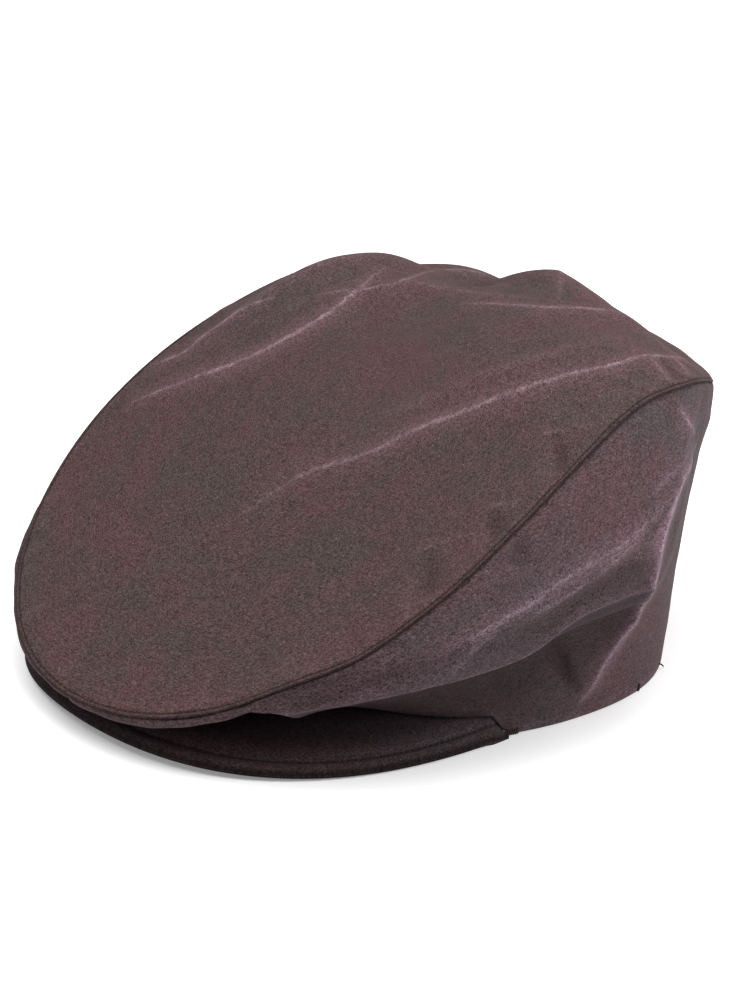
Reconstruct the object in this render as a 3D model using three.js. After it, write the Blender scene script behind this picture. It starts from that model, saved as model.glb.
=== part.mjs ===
// A waxed cotton flat cap, standing on its rim and its peak as it does on a shelf.
//
// Millimetres, +Z up, the floor at z = 0. The peak points along -Y and the wearer's left is +X.
// The cap has four pieces: one top panel, a left and a right side panel that meet at the centre
// front and centre back, and a curved peak under the front of the crown.
//
// Round the cap everything is placed by an angle: 0 is the centre front, 90 the wearer's left,
// 180 the centre back, and negative angles are the wearer's right.
import * as THREE from 'three';

// Driving dimensions
const WALL = 1.6;
const GAP = 0.3;
const CENTRE_SHIFT = 11.1;

// The rim is close to an ellipse. Over the brow it is lifted and stands on the peak, at the peak's
// corners it drops, and from the ears back it lies on the floor. The table gives how much wider it
// is than that ellipse at an angle to both sides: it spreads behind the ears.
const RIM_HALF_WIDTH = 85;
const RIM_HALF_LENGTH = 98;
const RIM_FRONT_LIFT = 17;
const RIM_FRONT_LEVEL_ANGLE = 145;
const RIM_CORNER_LIFT = 2.2;
const RIM_FLOOR_ANGLE = 90;
const RIM_SPREAD = table(['angle', 'factor'], [
  [0, 1],
  [45, 1],
  [60, 0.99],
  [72, 0.975],
  [90, 0.99],
  [117, 1.035],
  [150, 1],
  [180, 1],
]);

// The peak: its plan, how far its outer edge lifts off the floor at the front and at which angle
// of that edge it touches the floor, how much squarer than an ellipse it is, how much its face is
// domed, and its blunt corners, which stand out from the rim, end just before the rim drops and are
// thicker where they are sewn on.
const PEAK_THICKNESS = 2.6;
const PEAK_HALF_WIDTH = 81;
const PEAK_FRONT = 136.8;
const PEAK_CORNER_ANGLE = 72;
const PEAK_END_ANGLE = 71.75;
const PEAK_CORNER_REACH = 2.2;
const PEAK_CORNER_THICKNESS = 6.4;
const PEAK_CORNER_POWER = 8;
const PEAK_FRONT_LIFT = 2.9;
const PEAK_FLOOR_ANGLE = 71;
const PEAK_FULLNESS = 0.046;
const PEAK_DOME = 1.5;

// The top panel: how its middle line rises, how it falls away sideways, and how late its edge
// turns down to the seam.
const TOP_CAMBER = 0.0007;
const TOP_EDGE_POWER = 5;

// Sections of the crown, one row for each angle. The seam joins the top panel to the side panel.
// Below it the side panel swells to its belly, hangs over at its lip, turns in at its tuck and
// drops to the rim. A reach is a distance out from the rim.
const SECTIONS = table(
  ['angle', 'seamX', 'seamY', 'seamZ', 'bellyReach', 'bellyZ', 'lipReach', 'lipZ', 'tuckReach', 'tuckZ'],
  [
    [0, 0, -141.4, 12.6, 41.8, 10.4, 37.5, 10.4, 24, 14],
    [15, 30.6, -135.9, 15.9, 41.2, 13.6, 36.7, 12.6, 23.5, 14.6],
    [30, 57, -120.3, 25.7, 37.7, 24, 34.3, 22.5, 22.3, 18],
    [45, 77, -97.6, 41, 32, 36, 29, 30.5, 16, 23],
    [60, 87.8, -70.7, 60.5, 24.3, 48, 22.8, 36.5, 12, 27],
    [75, 90.2, -41.9, 79.4, 18.3, 56, 17, 38, 9, 31],
    [90, 87.2, -12.2, 94.9, 12, 65, 11.5, 42.5, 6, 36],
    [105, 82, 18, 105.5, 5.3, 71, 5.3, 47.5, 2.3, 41],
    [120, 77, 48, 106, 1, 78, 0.6, 50, 0.5, 36],
    [135, 63.5, 76, 98, 5, 79, 2.4, 50, 1.2, 30],
    [150, 44.5, 98.5, 88, 11.8, 72, 7.8, 46, 3.8, 25],
    [165, 22.5, 113, 78, 18, 65, 10.8, 43, 4.5, 22],
    [180, 0, 118, 74, 21, 62, 12.3, 42, 5, 21],
  ],
);
const SECTION_STEPS = [0, 0.22, 0.46, 0.62, 1];

// The middle line of the top panel, from the front seam to the back seam.
const TOP_PROFILE = table(['y', 'z'], [
  [-141.4, 12.6],
  [-120, 29],
  [-90, 51],
  [-60, 72],
  [-30, 91],
  [0, 106],
  [30, 114],
  [50, 116.5],
  [66, 118],
  [82, 112],
  [100, 96],
  [118, 74],
]);

// Folds of the top panel, as creases in plan from start to end. A negative rise is a hollow.
const TOP_FOLDS = table(['x0', 'y0', 'x1', 'y1', 'rise', 'leftWidth', 'rightWidth'], [
  [-4, -76, 48, 10, 3.5, 26, 12],
  [36, -22, 56, 62, 3.5, 22, 12],
  [-80, -62, -40, 6, 3.5, 14, 22],
  [-73, -36, -56, 46, 10.8, 12, 15],
  [-40, 12, -8, 48, 1.5, 8, 8],
  [-14, 18, 46, 66, 1.5, 14, 12],
  [-34, 69, 18, 71, 3.2, 8, 9],
  [-46, 98, -16, 28, -8, 12, 11],
  [-4, 86, 76, 68, -7.5, 14, 13],
]);

// Folds of the side panels, from start to end round the cap and up it. The left side has the deep
// crease behind the ear and a dent in front of it, the right side a shallower pair.
const SIDE_FOLDS = table(['angle0', 'z0', 'angle1', 'z1', 'rise', 'leftWidth', 'rightWidth'], [
  [124, 88, 104, 36, 3, 9, 12],
  [110, 48, 82, 4, 4, 9, 9],
  [100, 34, 92, 14, -4, 7, 7],
  [-138, 84, -112, 34, 3, 12, 9],
  [-100, 46, -74, 10, 2.5, 9, 12],
  [-128, 34, -116, 12, -3, 8, 8],
]);
const FOLD_SOFTNESS = 3;
const FOLD_FADE_POWER = 0.8;
const TOP_FOLD_END_POWER = 8;
const SIDE_MM_PER_DEGREE = 1.62;

// How soon below the seam the side panel's columns swing back to the rim's
const SEAM_SHIFT_POWER = 1.2;

// How finely the faces are cut
const RING_STEP = 4.5;
const CORNER_STEP = 1;
const SIDE_ROWS = 15;
const TOP_RINGS = 10;
const RING_CROWDING = 0.9;
const PEAK_STEPS = (2 * PEAK_CORNER_ANGLE) / RING_STEP;
const PEAK_ROWS = 5;

const OILED_BROWN = 0x4a3c3a;
const DARK_BROWN = 0x3a2f30;

function table(names, rows) {
  return rows.map((row) => Object.fromEntries(names.map((name, i) => [name, row[i]])));
}

function columnsOf(rows) {
  return Object.fromEntries(Object.keys(rows[0]).map((name) => [name, rows.map((row) => row[name])]));
}

// Smooth curve through the rows of a table: knots xs, values ys, slopes from the neighbours.
function smooth(xs, ys, x) {
  const last = xs.length - 1;
  let i = 0;
  while (i < last - 1 && x >= xs[i + 1]) i += 1;
  const chord = (k) => (ys[k + 1] - ys[k]) / (xs[k + 1] - xs[k]);
  const slope = (k) => {
    if (k === 0) return chord(0);
    if (k === last) return chord(last - 1);
    const before = xs[k] - xs[k - 1];
    const after = xs[k + 1] - xs[k];
    return (chord(k - 1) * after + chord(k) * before) / (before + after);
  };
  const h = xs[i + 1] - xs[i];
  const t = (x - xs[i]) / h;
  const start = ys[i] * (1 + 2 * t) * (1 - t) ** 2 + slope(i) * h * t * (1 - t) ** 2;
  const end = ys[i + 1] * t * t * (3 - 2 * t) + slope(i + 1) * h * t * t * (t - 1);
  return start + end;
}

// The sections run on past the centre back by two rows, so that the curves close smoothly there.
const RING_REPEATS_FROM = 150;

function ringOfSections() {
  const mirrored = SECTIONS.slice(1).map((row) => ({ ...row, angle: -row.angle, seamX: -row.seamX }));
  const once = [...mirrored.reverse(), ...SECTIONS];
  const turned = (row, turn) => ({ ...row, angle: row.angle + turn });
  const repeats = (row) => Math.abs(row.angle) >= RING_REPEATS_FROM && Math.abs(row.angle) < 180;
  const before = once.filter((row) => row.angle > 0 && repeats(row)).map((row) => turned(row, -360));
  const after = once.filter((row) => row.angle < 0 && repeats(row)).map((row) => turned(row, 360));
  return [...before, ...once, ...after];
}

const RING = columnsOf(ringOfSections());

function sectionValue(name, angle) {
  return smooth(RING.angle, RING[name], angle);
}

function seamPoint(angle) {
  return new THREE.Vector3(
    sectionValue('seamX', angle),
    sectionValue('seamY', angle),
    sectionValue('seamZ', angle),
  );
}

const SPREAD = columnsOf(RIM_SPREAD);

function rimHeight(angle) {
  const a = Math.abs(angle);
  if (a <= PEAK_CORNER_ANGLE) {
    return RIM_FRONT_LIFT * Math.cos((a / RIM_FRONT_LEVEL_ANGLE) * (Math.PI / 2)) ** 2;
  }
  const share = (RIM_FLOOR_ANGLE - a) / (RIM_FLOOR_ANGLE - PEAK_CORNER_ANGLE);
  return RIM_CORNER_LIFT * Math.max(share, 0) ** 2;
}

// Direction straight out from the rim, seen from above
function outward(angle) {
  const a = THREE.MathUtils.degToRad(angle);
  return new THREE.Vector3(Math.sin(a) / RIM_HALF_WIDTH, -Math.cos(a) / RIM_HALF_LENGTH, 0).normalize();
}

// Point on the rim, moved out by a reach and along the rim by a shift.
function rimPoint(angle, reach = 0, shift = 0) {
  const a = THREE.MathUtils.degToRad(angle);
  const spread = smooth(SPREAD.angle, SPREAD.factor, Math.abs(angle));
  const out = outward(angle);
  return new THREE.Vector3(
    RIM_HALF_WIDTH * Math.sin(a) * spread + out.x * reach - out.y * shift,
    -RIM_HALF_LENGTH * Math.cos(a) * spread + out.y * reach + out.x * shift,
    rimHeight(angle),
  );
}

// How far the seam stands out from the rim at an angle, and how far along it.
function seamOffset(angle) {
  const out = outward(angle);
  const offset = seamPoint(angle).sub(rimPoint(angle));
  return { reach: offset.x * out.x + offset.y * out.y, shift: offset.y * out.x - offset.x * out.y };
}

// Sum of the creases at a place. Each is highest midway and dies away to both sides.
function foldRise(u, v, folds) {
  let rise = 0;
  for (const { start, end, height, left, right } of folds) {
    const du = end[0] - start[0];
    const dv = end[1] - start[1];
    const length = Math.hypot(du, dv);
    const along = ((u - start[0]) * du + (v - start[1]) * dv) / length ** 2;
    const across = ((v - start[1]) * du - (u - start[0]) * dv) / length;
    const share = THREE.MathUtils.clamp(along, 0, 1);
    const fade = Math.sin(Math.PI * share) ** FOLD_FADE_POWER;
    const away = Math.hypot(across, FOLD_SOFTNESS) - FOLD_SOFTNESS;
    rise += height * fade * Math.exp(-away / (across > 0 ? left : right));
  }
  return rise;
}

const PROFILE = columnsOf(TOP_PROFILE);
const TOP_CREASES = TOP_FOLDS.map((f) => (
  { start: [f.x0, f.y0], end: [f.x1, f.y1], height: f.rise, left: f.leftWidth, right: f.rightWidth }
));
const SIDE_CREASES = SIDE_FOLDS.map((f) => ({
  start: [f.angle0 * SIDE_MM_PER_DEGREE, f.z0],
  end: [f.angle1 * SIDE_MM_PER_DEGREE, f.z1],
  height: f.rise,
  left: f.leftWidth,
  right: f.rightWidth,
}));

// Outer face of the side panels: share 0 is the seam and 1 the rim.
function sidePoint(angle, share) {
  const seam = seamOffset(angle);
  const reaches = [seam.reach, ...['belly', 'lip', 'tuck'].map((n) => sectionValue(`${n}Reach`, angle)), 0];
  const heights = [
    sectionValue('seamZ', angle),
    ...['belly', 'lip', 'tuck'].map((n) => sectionValue(`${n}Z`, angle)),
    rimHeight(angle),
  ];
  const z = smooth(SECTION_STEPS, heights, share);
  const ease = Math.sin(Math.PI * share);
  const crease = ease * foldRise(angle * SIDE_MM_PER_DEGREE, z, SIDE_CREASES);
  const reach = smooth(SECTION_STEPS, reaches, share) + crease;
  const point = rimPoint(angle, reach, seam.shift * (1 - share) ** SEAM_SHIFT_POWER);
  point.z = z;
  return point;
}

// Height of the top panel before its edge is brought down to the seam
function crownHeight(x, y) {
  return smooth(PROFILE.y, PROFILE.z, y) - TOP_CAMBER * x * x;
}

// Outer face of the top panel: share 0 is its middle and 1 the seam.
function topPoint(angle, share) {
  const seam = seamPoint(angle);
  const x = seam.x * share;
  const y = seam.y * share;
  const turnDown = (seam.z - crownHeight(seam.x, seam.y)) * share ** TOP_EDGE_POWER;
  const crease = (1 - share ** TOP_FOLD_END_POWER) * foldRise(x, y, TOP_CREASES);
  return new THREE.Vector3(x, y, crownHeight(x, y) + turnDown + crease);
}

// Direction square to a face given as a function of two numbers
function normalOf(face, u, v, stepU, stepV) {
  const alongU = face(u + stepU, v).sub(face(u - stepU, v));
  const alongV = face(u, v + stepV).sub(face(u, v - stepV));
  return alongU.cross(alongV).normalize();
}

const NORMAL_STEP_ANGLE = 0.5;
const NORMAL_STEP_SHARE = 0.01;
const normalTo = (face, angle, share) => normalOf(face, angle, share, NORMAL_STEP_ANGLE, NORMAL_STEP_SHARE);
const topNormal = (angle, share) => normalTo(topPoint, angle, share).negate();
const sideNormal = (angle, share) => normalTo(sidePoint, angle, share).negate();

const NEAR_SEAM_ON_TOP = 0.97;
const NEAR_SEAM_ON_SIDE = 0.03;

// How far from the seam the inner faces of the two walls meet
function mitreSetback(angle) {
  const top = topNormal(angle, NEAR_SEAM_ON_TOP);
  const wall = sideNormal(angle, NEAR_SEAM_ON_SIDE);
  return (WALL * top.distanceTo(wall)) / top.clone().add(wall).length();
}

// The mitred faces where the top panel and the side panels meet: the outer and the inner corner
// at an angle, each moved half a gap to the top panel's side (1) or the side panel's side (-1).
function seamCorners(angle, side) {
  const outer = seamPoint(angle);
  const top = topNormal(angle, NEAR_SEAM_ON_TOP);
  const wall = sideNormal(angle, NEAR_SEAM_ON_SIDE);
  const mitre = top.clone().add(wall).multiplyScalar(WALL / (1 + top.dot(wall)));
  const inner = outer.clone().sub(mitre);
  const along = seamPoint(angle + NORMAL_STEP_ANGLE).sub(seamPoint(angle - NORMAL_STEP_ANGLE));
  const apart = mitre.clone().cross(along).normalize().multiplyScalar((side * GAP) / 2);
  return { outer: outer.add(apart), inner: inner.add(apart) };
}

// A closed body between an outer and an inner grid of points with the same rows and columns.
// Grids are lists of rows. When ring is set, the last column joins the first; when pole is set,
// the first row is one point.
function shell(outer, inner, { ring = false, pole = false } = {}) {
  const positions = [];
  const indices = [];
  const place = (grid) => grid.map((row, r) => {
    const points = pole && r === 0 ? [row[0]] : row;
    return points.map((p) => positions.push(p.x, p.y, p.z) / 3 - 1);
  });
  const outside = place(outer);
  const inside = place(inner);
  const rows = outer.length;
  const columns = outer[0].length;
  const at = (grid, r, c) => grid[r][grid[r].length === 1 ? 0 : c % columns];
  const triangle = (a, b, c) => {
    if (a !== b && b !== c && a !== c) indices.push(a, b, c);
  };
  const quad = (a, b, c, d) => {
    triangle(a, b, c);
    triangle(a, c, d);
  };
  const steps = ring ? columns : columns - 1;
  for (let r = 0; r + 1 < rows; r += 1) {
    for (let c = 0; c < steps; c += 1) {
      quad(at(outside, r, c), at(outside, r + 1, c), at(outside, r + 1, c + 1), at(outside, r, c + 1));
      quad(at(inside, r, c), at(inside, r, c + 1), at(inside, r + 1, c + 1), at(inside, r + 1, c));
    }
    if (!ring) {
      const c = columns - 1;
      quad(at(outside, r, 0), at(inside, r, 0), at(inside, r + 1, 0), at(outside, r + 1, 0));
      quad(at(outside, r, c), at(outside, r + 1, c), at(inside, r + 1, c), at(inside, r, c));
    }
  }
  for (let c = 0; c < steps; c += 1) {
    const r = rows - 1;
    quad(at(outside, r, c), at(inside, r, c), at(inside, r, c + 1), at(outside, r, c + 1));
    if (!pole) quad(at(outside, 0, c), at(outside, 0, c + 1), at(inside, 0, c + 1), at(inside, 0, c));
  }
  const geometry = new THREE.BufferGeometry();
  geometry.setAttribute('position', new THREE.Float32BufferAttribute(positions, 3));
  geometry.setIndex(indices);
  geometry.computeVertexNormals();
  return geometry;
}

const range = (count, from, to) => (
  Array.from({ length: count + 1 }, (_, i) => from + ((to - from) * i) / count)
);

// The angles of the columns, with two more close behind the peak's corners, where the rim drops
function ringAngles(from, to) {
  const behindCorners = [-PEAK_CORNER_ANGLE - CORNER_STEP, PEAK_CORNER_ANGLE + CORNER_STEP];
  const even = range((to - from) / RING_STEP, from, to);
  const extra = behindCorners.filter((angle) => angle > from && angle < to);
  return [...even, ...extra].sort((a, b) => a - b);
}

function clothMaterial(colour) {
  return new THREE.MeshStandardMaterial({ color: colour, roughness: 0.75, metalness: 0 });
}

function named(name, geometry, colour) {
  const mesh = new THREE.Mesh(geometry, clothMaterial(colour));
  mesh.name = name;
  return mesh;
}

function topPanel() {
  const angles = ringAngles(-180, 180).slice(0, -1);
  // Rings lie closer together towards the seam, where the panel turns down.
  const shares = range(TOP_RINGS, 0, 1).map((t) => Math.sin((t * Math.PI) / 2) ** RING_CROWDING);
  const outer = shares.map((share) => angles.map((angle) => (
    share === 1 ? seamCorners(angle, 1).outer : topPoint(angle, share)
  )));
  const innerPoint = (angle, share) => {
    if (share === 1) return seamCorners(angle, 1).inner;
    const setback = mitreSetback(angle) / topPoint(angle, 1).distanceTo(topPoint(angle, 0));
    const inset = share * (1 - setback);
    return topPoint(angle, inset).sub(topNormal(angle, Math.max(inset, 0.02)).multiplyScalar(WALL));
  };
  const inner = shares.map((share) => angles.map((angle) => innerPoint(angle, share)));
  const middle = inner[0].reduce((sum, p) => sum.add(p), new THREE.Vector3()).divideScalar(angles.length);
  inner[0] = [middle];
  return shell(outer, inner, { ring: true, pole: true });
}

function sidePanel(side) {
  const from = side > 0 ? 0 : -180;
  const angles = ringAngles(from, from + 180);
  const shares = range(SIDE_ROWS, 0, 1);
  const point = (angle, share, depth) => {
    if (share === 0) return seamCorners(angle, -1)[depth > 0 ? 'inner' : 'outer'];
    if (share === 1) return rimPoint(angle, -depth);
    if (depth === 0) return sidePoint(angle, share);
    const slope = sidePoint(angle, NEAR_SEAM_ON_SIDE).distanceTo(seamPoint(angle)) / NEAR_SEAM_ON_SIDE;
    const inset = share + (mitreSetback(angle) / slope) * (1 - share);
    return sidePoint(angle, inset).sub(sideNormal(angle, inset).multiplyScalar(depth));
  };
  const grid = (depth) => shares.map((share) => angles.map((angle) => {
    const p = point(angle, share, depth);
    // The ends stop half a gap short of the centre line.
    if (angle % 180 === 0) p.x = (side * GAP) / 2;
    return p;
  }));
  return shell(grid(0), grid(WALL));
}

// Outer edge of the peak's upper face, from one corner (share -1) round the front to the other (1)
function peakEdge(share) {
  const corner = rimPoint(PEAK_END_ANGLE, PEAK_CORNER_REACH);
  const sine = corner.x / PEAK_HALF_WIDTH;
  const lastAngle = 180 - THREE.MathUtils.radToDeg(Math.asin(sine));
  const halfLength = (corner.y + PEAK_FRONT) / (1 + Math.sqrt(1 - sine * sine));
  const angle = Math.abs(share) * lastAngle;
  const a = THREE.MathUtils.degToRad(angle);
  const full = 1 + PEAK_FULLNESS * Math.sin(Math.min(2 * a, Math.PI)) ** 2;
  const drop = Math.min(angle / PEAK_FLOOR_ANGLE, 1);
  return new THREE.Vector3(
    Math.sign(share) * PEAK_HALF_WIDTH * Math.sin(a) * full,
    halfLength - PEAK_FRONT - halfLength * Math.cos(a) * full,
    PEAK_THICKNESS + PEAK_FRONT_LIFT * (0.5 + 0.5 * Math.cos(Math.PI * drop)),
  );
}

// The peak's rows run from inside the rim, under the side panels' edge, out to its own edge.
function peak() {
  const outOf = (row) => Math.max(row - 1, 0) / (PEAK_ROWS - 1);
  const upper = (share, row) => {
    const angle = share * PEAK_END_ANGLE;
    const point = rimPoint(angle, row === 0 ? -WALL : 0);
    point.z -= GAP;
    const out = outOf(row);
    if (out > 0) point.lerp(peakEdge(share), out);
    point.z += PEAK_DOME * Math.sin(Math.PI * out) * (1 - share * share);
    return point;
  };
  const lower = (share, row) => {
    const point = upper(share, row);
    const corner = share ** PEAK_CORNER_POWER * (1 - outOf(row));
    point.z -= PEAK_THICKNESS + (PEAK_CORNER_THICKNESS - PEAK_THICKNESS) * corner;
    return point;
  };
  const shares = range(PEAK_STEPS, -1, 1);
  const rows = range(PEAK_ROWS, 0, PEAK_ROWS);
  const face = (point) => rows.map((row) => shares.map((share) => point(share, row)));
  return shell(face(upper), face(lower));
}

const cap = new THREE.Group();
cap.add(
  named('top_panel', topPanel(), OILED_BROWN),
  named('side_panel_left', sidePanel(1), OILED_BROWN),
  named('side_panel_right', sidePanel(-1), OILED_BROWN),
  named('peak', peak(), DARK_BROWN),
);
cap.position.y = CENTRE_SHIFT;

export default cap;
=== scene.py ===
"""A waxed cotton flat cap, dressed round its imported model.

The frame is in metres and +Z is up. The peak points along -Y and the wearer's left is +X.
Shapes are worked out in millimetres, in the same way as the solids: round the cap everything is
placed by an angle in degrees, 0 at the centre front, 90 at the wearer's left, 180 at the back.
"""

import math
from collections import namedtuple

import bpy
import numpy as np
from bpy.props import FloatProperty, FloatVectorProperty, PointerProperty
from mathutils import Matrix, Vector


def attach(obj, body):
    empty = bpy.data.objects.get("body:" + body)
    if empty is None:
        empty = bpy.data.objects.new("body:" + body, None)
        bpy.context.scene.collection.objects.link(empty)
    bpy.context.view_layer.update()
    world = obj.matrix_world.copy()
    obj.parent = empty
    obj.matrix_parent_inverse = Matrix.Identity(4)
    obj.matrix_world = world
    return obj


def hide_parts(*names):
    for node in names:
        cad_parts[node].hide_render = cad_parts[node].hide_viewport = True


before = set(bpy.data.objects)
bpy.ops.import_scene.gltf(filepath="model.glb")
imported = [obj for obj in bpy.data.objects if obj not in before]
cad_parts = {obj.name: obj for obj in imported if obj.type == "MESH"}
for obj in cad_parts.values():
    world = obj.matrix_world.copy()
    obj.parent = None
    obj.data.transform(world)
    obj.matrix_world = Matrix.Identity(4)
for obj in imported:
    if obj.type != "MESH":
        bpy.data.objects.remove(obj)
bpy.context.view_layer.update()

bl_info = {
    "name": "Waxed flat cap",
    "version": (1, 0, 0),
    "blender": (4, 5, 0),
    "location": "View3D > Sidebar > Flat cap",
    "description": "Builds a waxed cotton flat cap round its packed model",
    "category": "Object",
}

MM = 0.001
BODY = "root"

# Driving sizes of the cap, in millimetres, as in the solids
WALL = 1.6
GAP = 0.3
CENTRE_SHIFT = 11.1


def table(names, rows):
    """Columns by name, from rows of numbers."""
    return {name: np.array([row[i] for row in rows], float) for i, name in enumerate(names)}


# The rim is close to an ellipse. Over the brow it is lifted and stands on the peak.
RIM_HALF_WIDTH = 85
RIM_HALF_LENGTH = 98
RIM_FRONT_LIFT = 17
RIM_FRONT_LEVEL_ANGLE = 145
RIM_CORNER_LIFT = 1.25
RIM_DROP_ANGLE = 70
RIM_FLOOR_ANGLE = 90
RIM_LANDING_POWER = 60
RIM_SPREAD = table(("angle", "factor"), (
    (0, 1),
    (45, 1),
    (60, 0.99),
    (72, 0.975),
    (90, 0.99),
    (117, 1.035),
    (150, 1),
    (180, 1),
))

PEAK_THICKNESS = 2.6
PEAK_HALF_WIDTH = 82.1
PEAK_FRONT = 136.8
PEAK_CORNER_ANGLE = 74.5
PEAK_END_ANGLE = 74.25
PEAK_CORNER_REACH = 2.2
PEAK_CORNER_THICKNESS = 6.4
PEAK_CORNER_POWER = 8
PEAK_FRONT_LIFT = 2.9
PEAK_FLOOR_ANGLE = 71
PEAK_FULLNESS = 0.046
PEAK_DOME = 1.5
PEAK_TIP_THINNING = 1.5
PEAK_TIP_FROM = 0.93

TOP_CAMBER = 0.0007
TOP_EDGE_POWER = 5
TOP_FOLD_END_POWER = 8

# Sections of the crown, one row for each angle: the seam, then the side panel's belly, lip, tuck
SECTIONS = table(
    (
        "angle", "seam_x", "seam_y", "seam_z",
        "belly_reach", "belly_z", "lip_reach", "lip_z", "tuck_reach", "tuck_z",
    ),
    (
        (0, 0, -141.4, 12.6, 41.8, 10.4, 37.5, 10.4, 24, 14),
        (15, 30.6, -135.9, 15.9, 41.2, 13.6, 36.7, 12.6, 23.5, 14.6),
        (30, 57, -120.3, 25.7, 37.7, 24, 34.3, 22.5, 22.3, 18),
        (45, 77, -97.6, 41, 32, 36, 29, 30.5, 16, 23),
        (60, 87.8, -70.7, 60.5, 24.3, 48, 22.8, 36.5, 12, 27),
        (75, 90.2, -41.9, 79.4, 18.3, 56, 17, 38, 9, 31),
        (90, 87.2, -12.2, 94.9, 12, 65, 11.5, 42.5, 6, 36),
        (105, 82, 18, 105.5, 5.3, 71, 5.3, 47.5, 2.3, 41),
        (120, 77, 48, 106, 1, 78, 0.6, 50, 0.5, 36),
        (135, 63.5, 76, 98, 5, 79, 2.4, 50, 1.2, 30),
        (150, 44.5, 98.5, 88, 11.8, 72, 7.8, 46, 3.8, 25),
        (165, 22.5, 113, 78, 18, 65, 10.8, 43, 4.5, 22),
        (180, 0, 118, 74, 21, 62, 12.3, 42, 5, 21),
    ),
)
SEAM_KINK = 2.2
SEAM_KINK_ANGLE = 37
SEAM_KINK_REACH = 8
SECTION_STEPS = np.array([0, 0.22, 0.46, 0.62, 1])
RING_REPEATS = 2

# Middle line of the top panel, from the front seam to the back seam
TOP_PROFILE = table(("y", "z"), (
    (-141.4, 12.6),
    (-120, 29),
    (-90, 51),
    (-60, 72),
    (-30, 91),
    (0, 106),
    (30, 114),
    (50, 116.5),
    (66, 118),
    (82, 112),
    (100, 96),
    (118, 74),
))

# Main folds, as in the solids, from start to end. A negative rise is a hollow.
FOLD_COLUMNS = ("u0", "v0", "u1", "v1", "rise", "left", "right")
TOP_FOLDS = table(FOLD_COLUMNS, (
    (-4, -76, 48, 10, 3.5, 26, 12),
    (36, -22, 56, 62, 3.5, 22, 12),
    (-80, -62, -40, 6, 3.5, 14, 22),
    (-73, -36, -55, 50, 9.4, 12, 14),
    (-40, 12, -8, 48, 1.5, 8, 8),
    (-14, 18, 46, 66, 1.5, 14, 12),
    (-34, 69, 18, 71, 1.6, 8, 9),
    (-46, 98, -16, 28, -7.6, 12, 11),
    (-4, 86, 76, 68, -8, 14, 13),
))
SIDE_MM_PER_DEGREE = 1.62
SIDE_FOLDS = table(FOLD_COLUMNS, (
    (201, 88, 168.5, 36, 3, 9, 12),
    (178, 48, 133, 4, 4, 9, 9),
    (162, 34, 149, 14, -4, 7, 7),
    (-223.5, 84, -181.5, 34, 3, 12, 9),
    (-162, 46, -120, 10, 2.5, 9, 12),
    (-207.5, 34, -188, 12, -3, 8, 8),
))
FOLD_SOFTNESS = 3

# Crisp creases along bent lines, which only the dressed cap has. Left and right are how far each
# side of the crest reaches, as seen walking along the line, and a small softness makes it sharp.
# Pale is how pale the crest is painted, as worn wax and as painted highlight; below 0 the crease is a
# dent with painted shade. The top's lines are in plan, the sides' are millimetres round the cap and up it.
Crease = namedtuple("Crease", "line rise left right softness pale")
TOP_CREASES = (
    Crease(
        ((3, -79), (11, -64), (16, -57), (24, -50), (30, -42), (35, -32), (44, -19), (51, -6),
         (57, 9), (62, 24), (62, 38), (61, 52), (58, 67), (60, 78)),
        1.8, 15, 7, 0.5, 1.0,
    ),
    Crease(((72, -10), (79, -15), (86, -20)), -1.4, 3, 2, 0.6, -0.3),
    Crease(((78, -40), (83, -45), (89, -50)), -1.4, 2.4, 2, 0.6, -0.3),
    Crease(((70, -60), (78, -66), (84, -71)), -1.3, 4, 3, 0.8, -0.25),
    Crease(((63, 41), (68, 40), (73, 38), (79, 36)), 0.8, 2, 3, 0.4, 0.7),
    Crease(((62, 48), (68, 46), (76, 43)), -0.8, 2.5, 2, 0.5, -0.2),
    Crease(((60, 56), (65, 55), (70, 52), (76, 50)), 0.8, 2, 3, 0.4, 0.7),
    Crease(
        ((-82, -62), (-71, -55), (-58, -44), (-47, -34), (-41, -22), (-38, -8), (-41, 8),
         (-48, 26)),
        1.5, 7, 9, 0.6, 1.4,
    ),
    Crease(
        ((-90, -48), (-83, -44), (-77, -39), (-76, -33), (-72, -28), (-69, -22), (-61, -13)),
        1.1, 3, 4, 0.4, 1.1,
    ),
    Crease(((-50, -6), (-38, 10), (-33, 22), (-42, 46)), 0.8, 5, 5, 0.6, 0.6),
    Crease(((-44, 44), (-40, 54), (-33, 67)), 1.0, 4, 5, 0.5, 0.7),
    Crease(((-6, 20), (8, 29), (20, 38), (27, 49), (34, 62), (46, 66)), 1.1, 7, 6, 0.5, 0.7),
    Crease(((18, 44), (6, 58), (-6, 70), (-16, 82)), 1.5, 12, 7, 0.3, 0.15),
)
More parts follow.
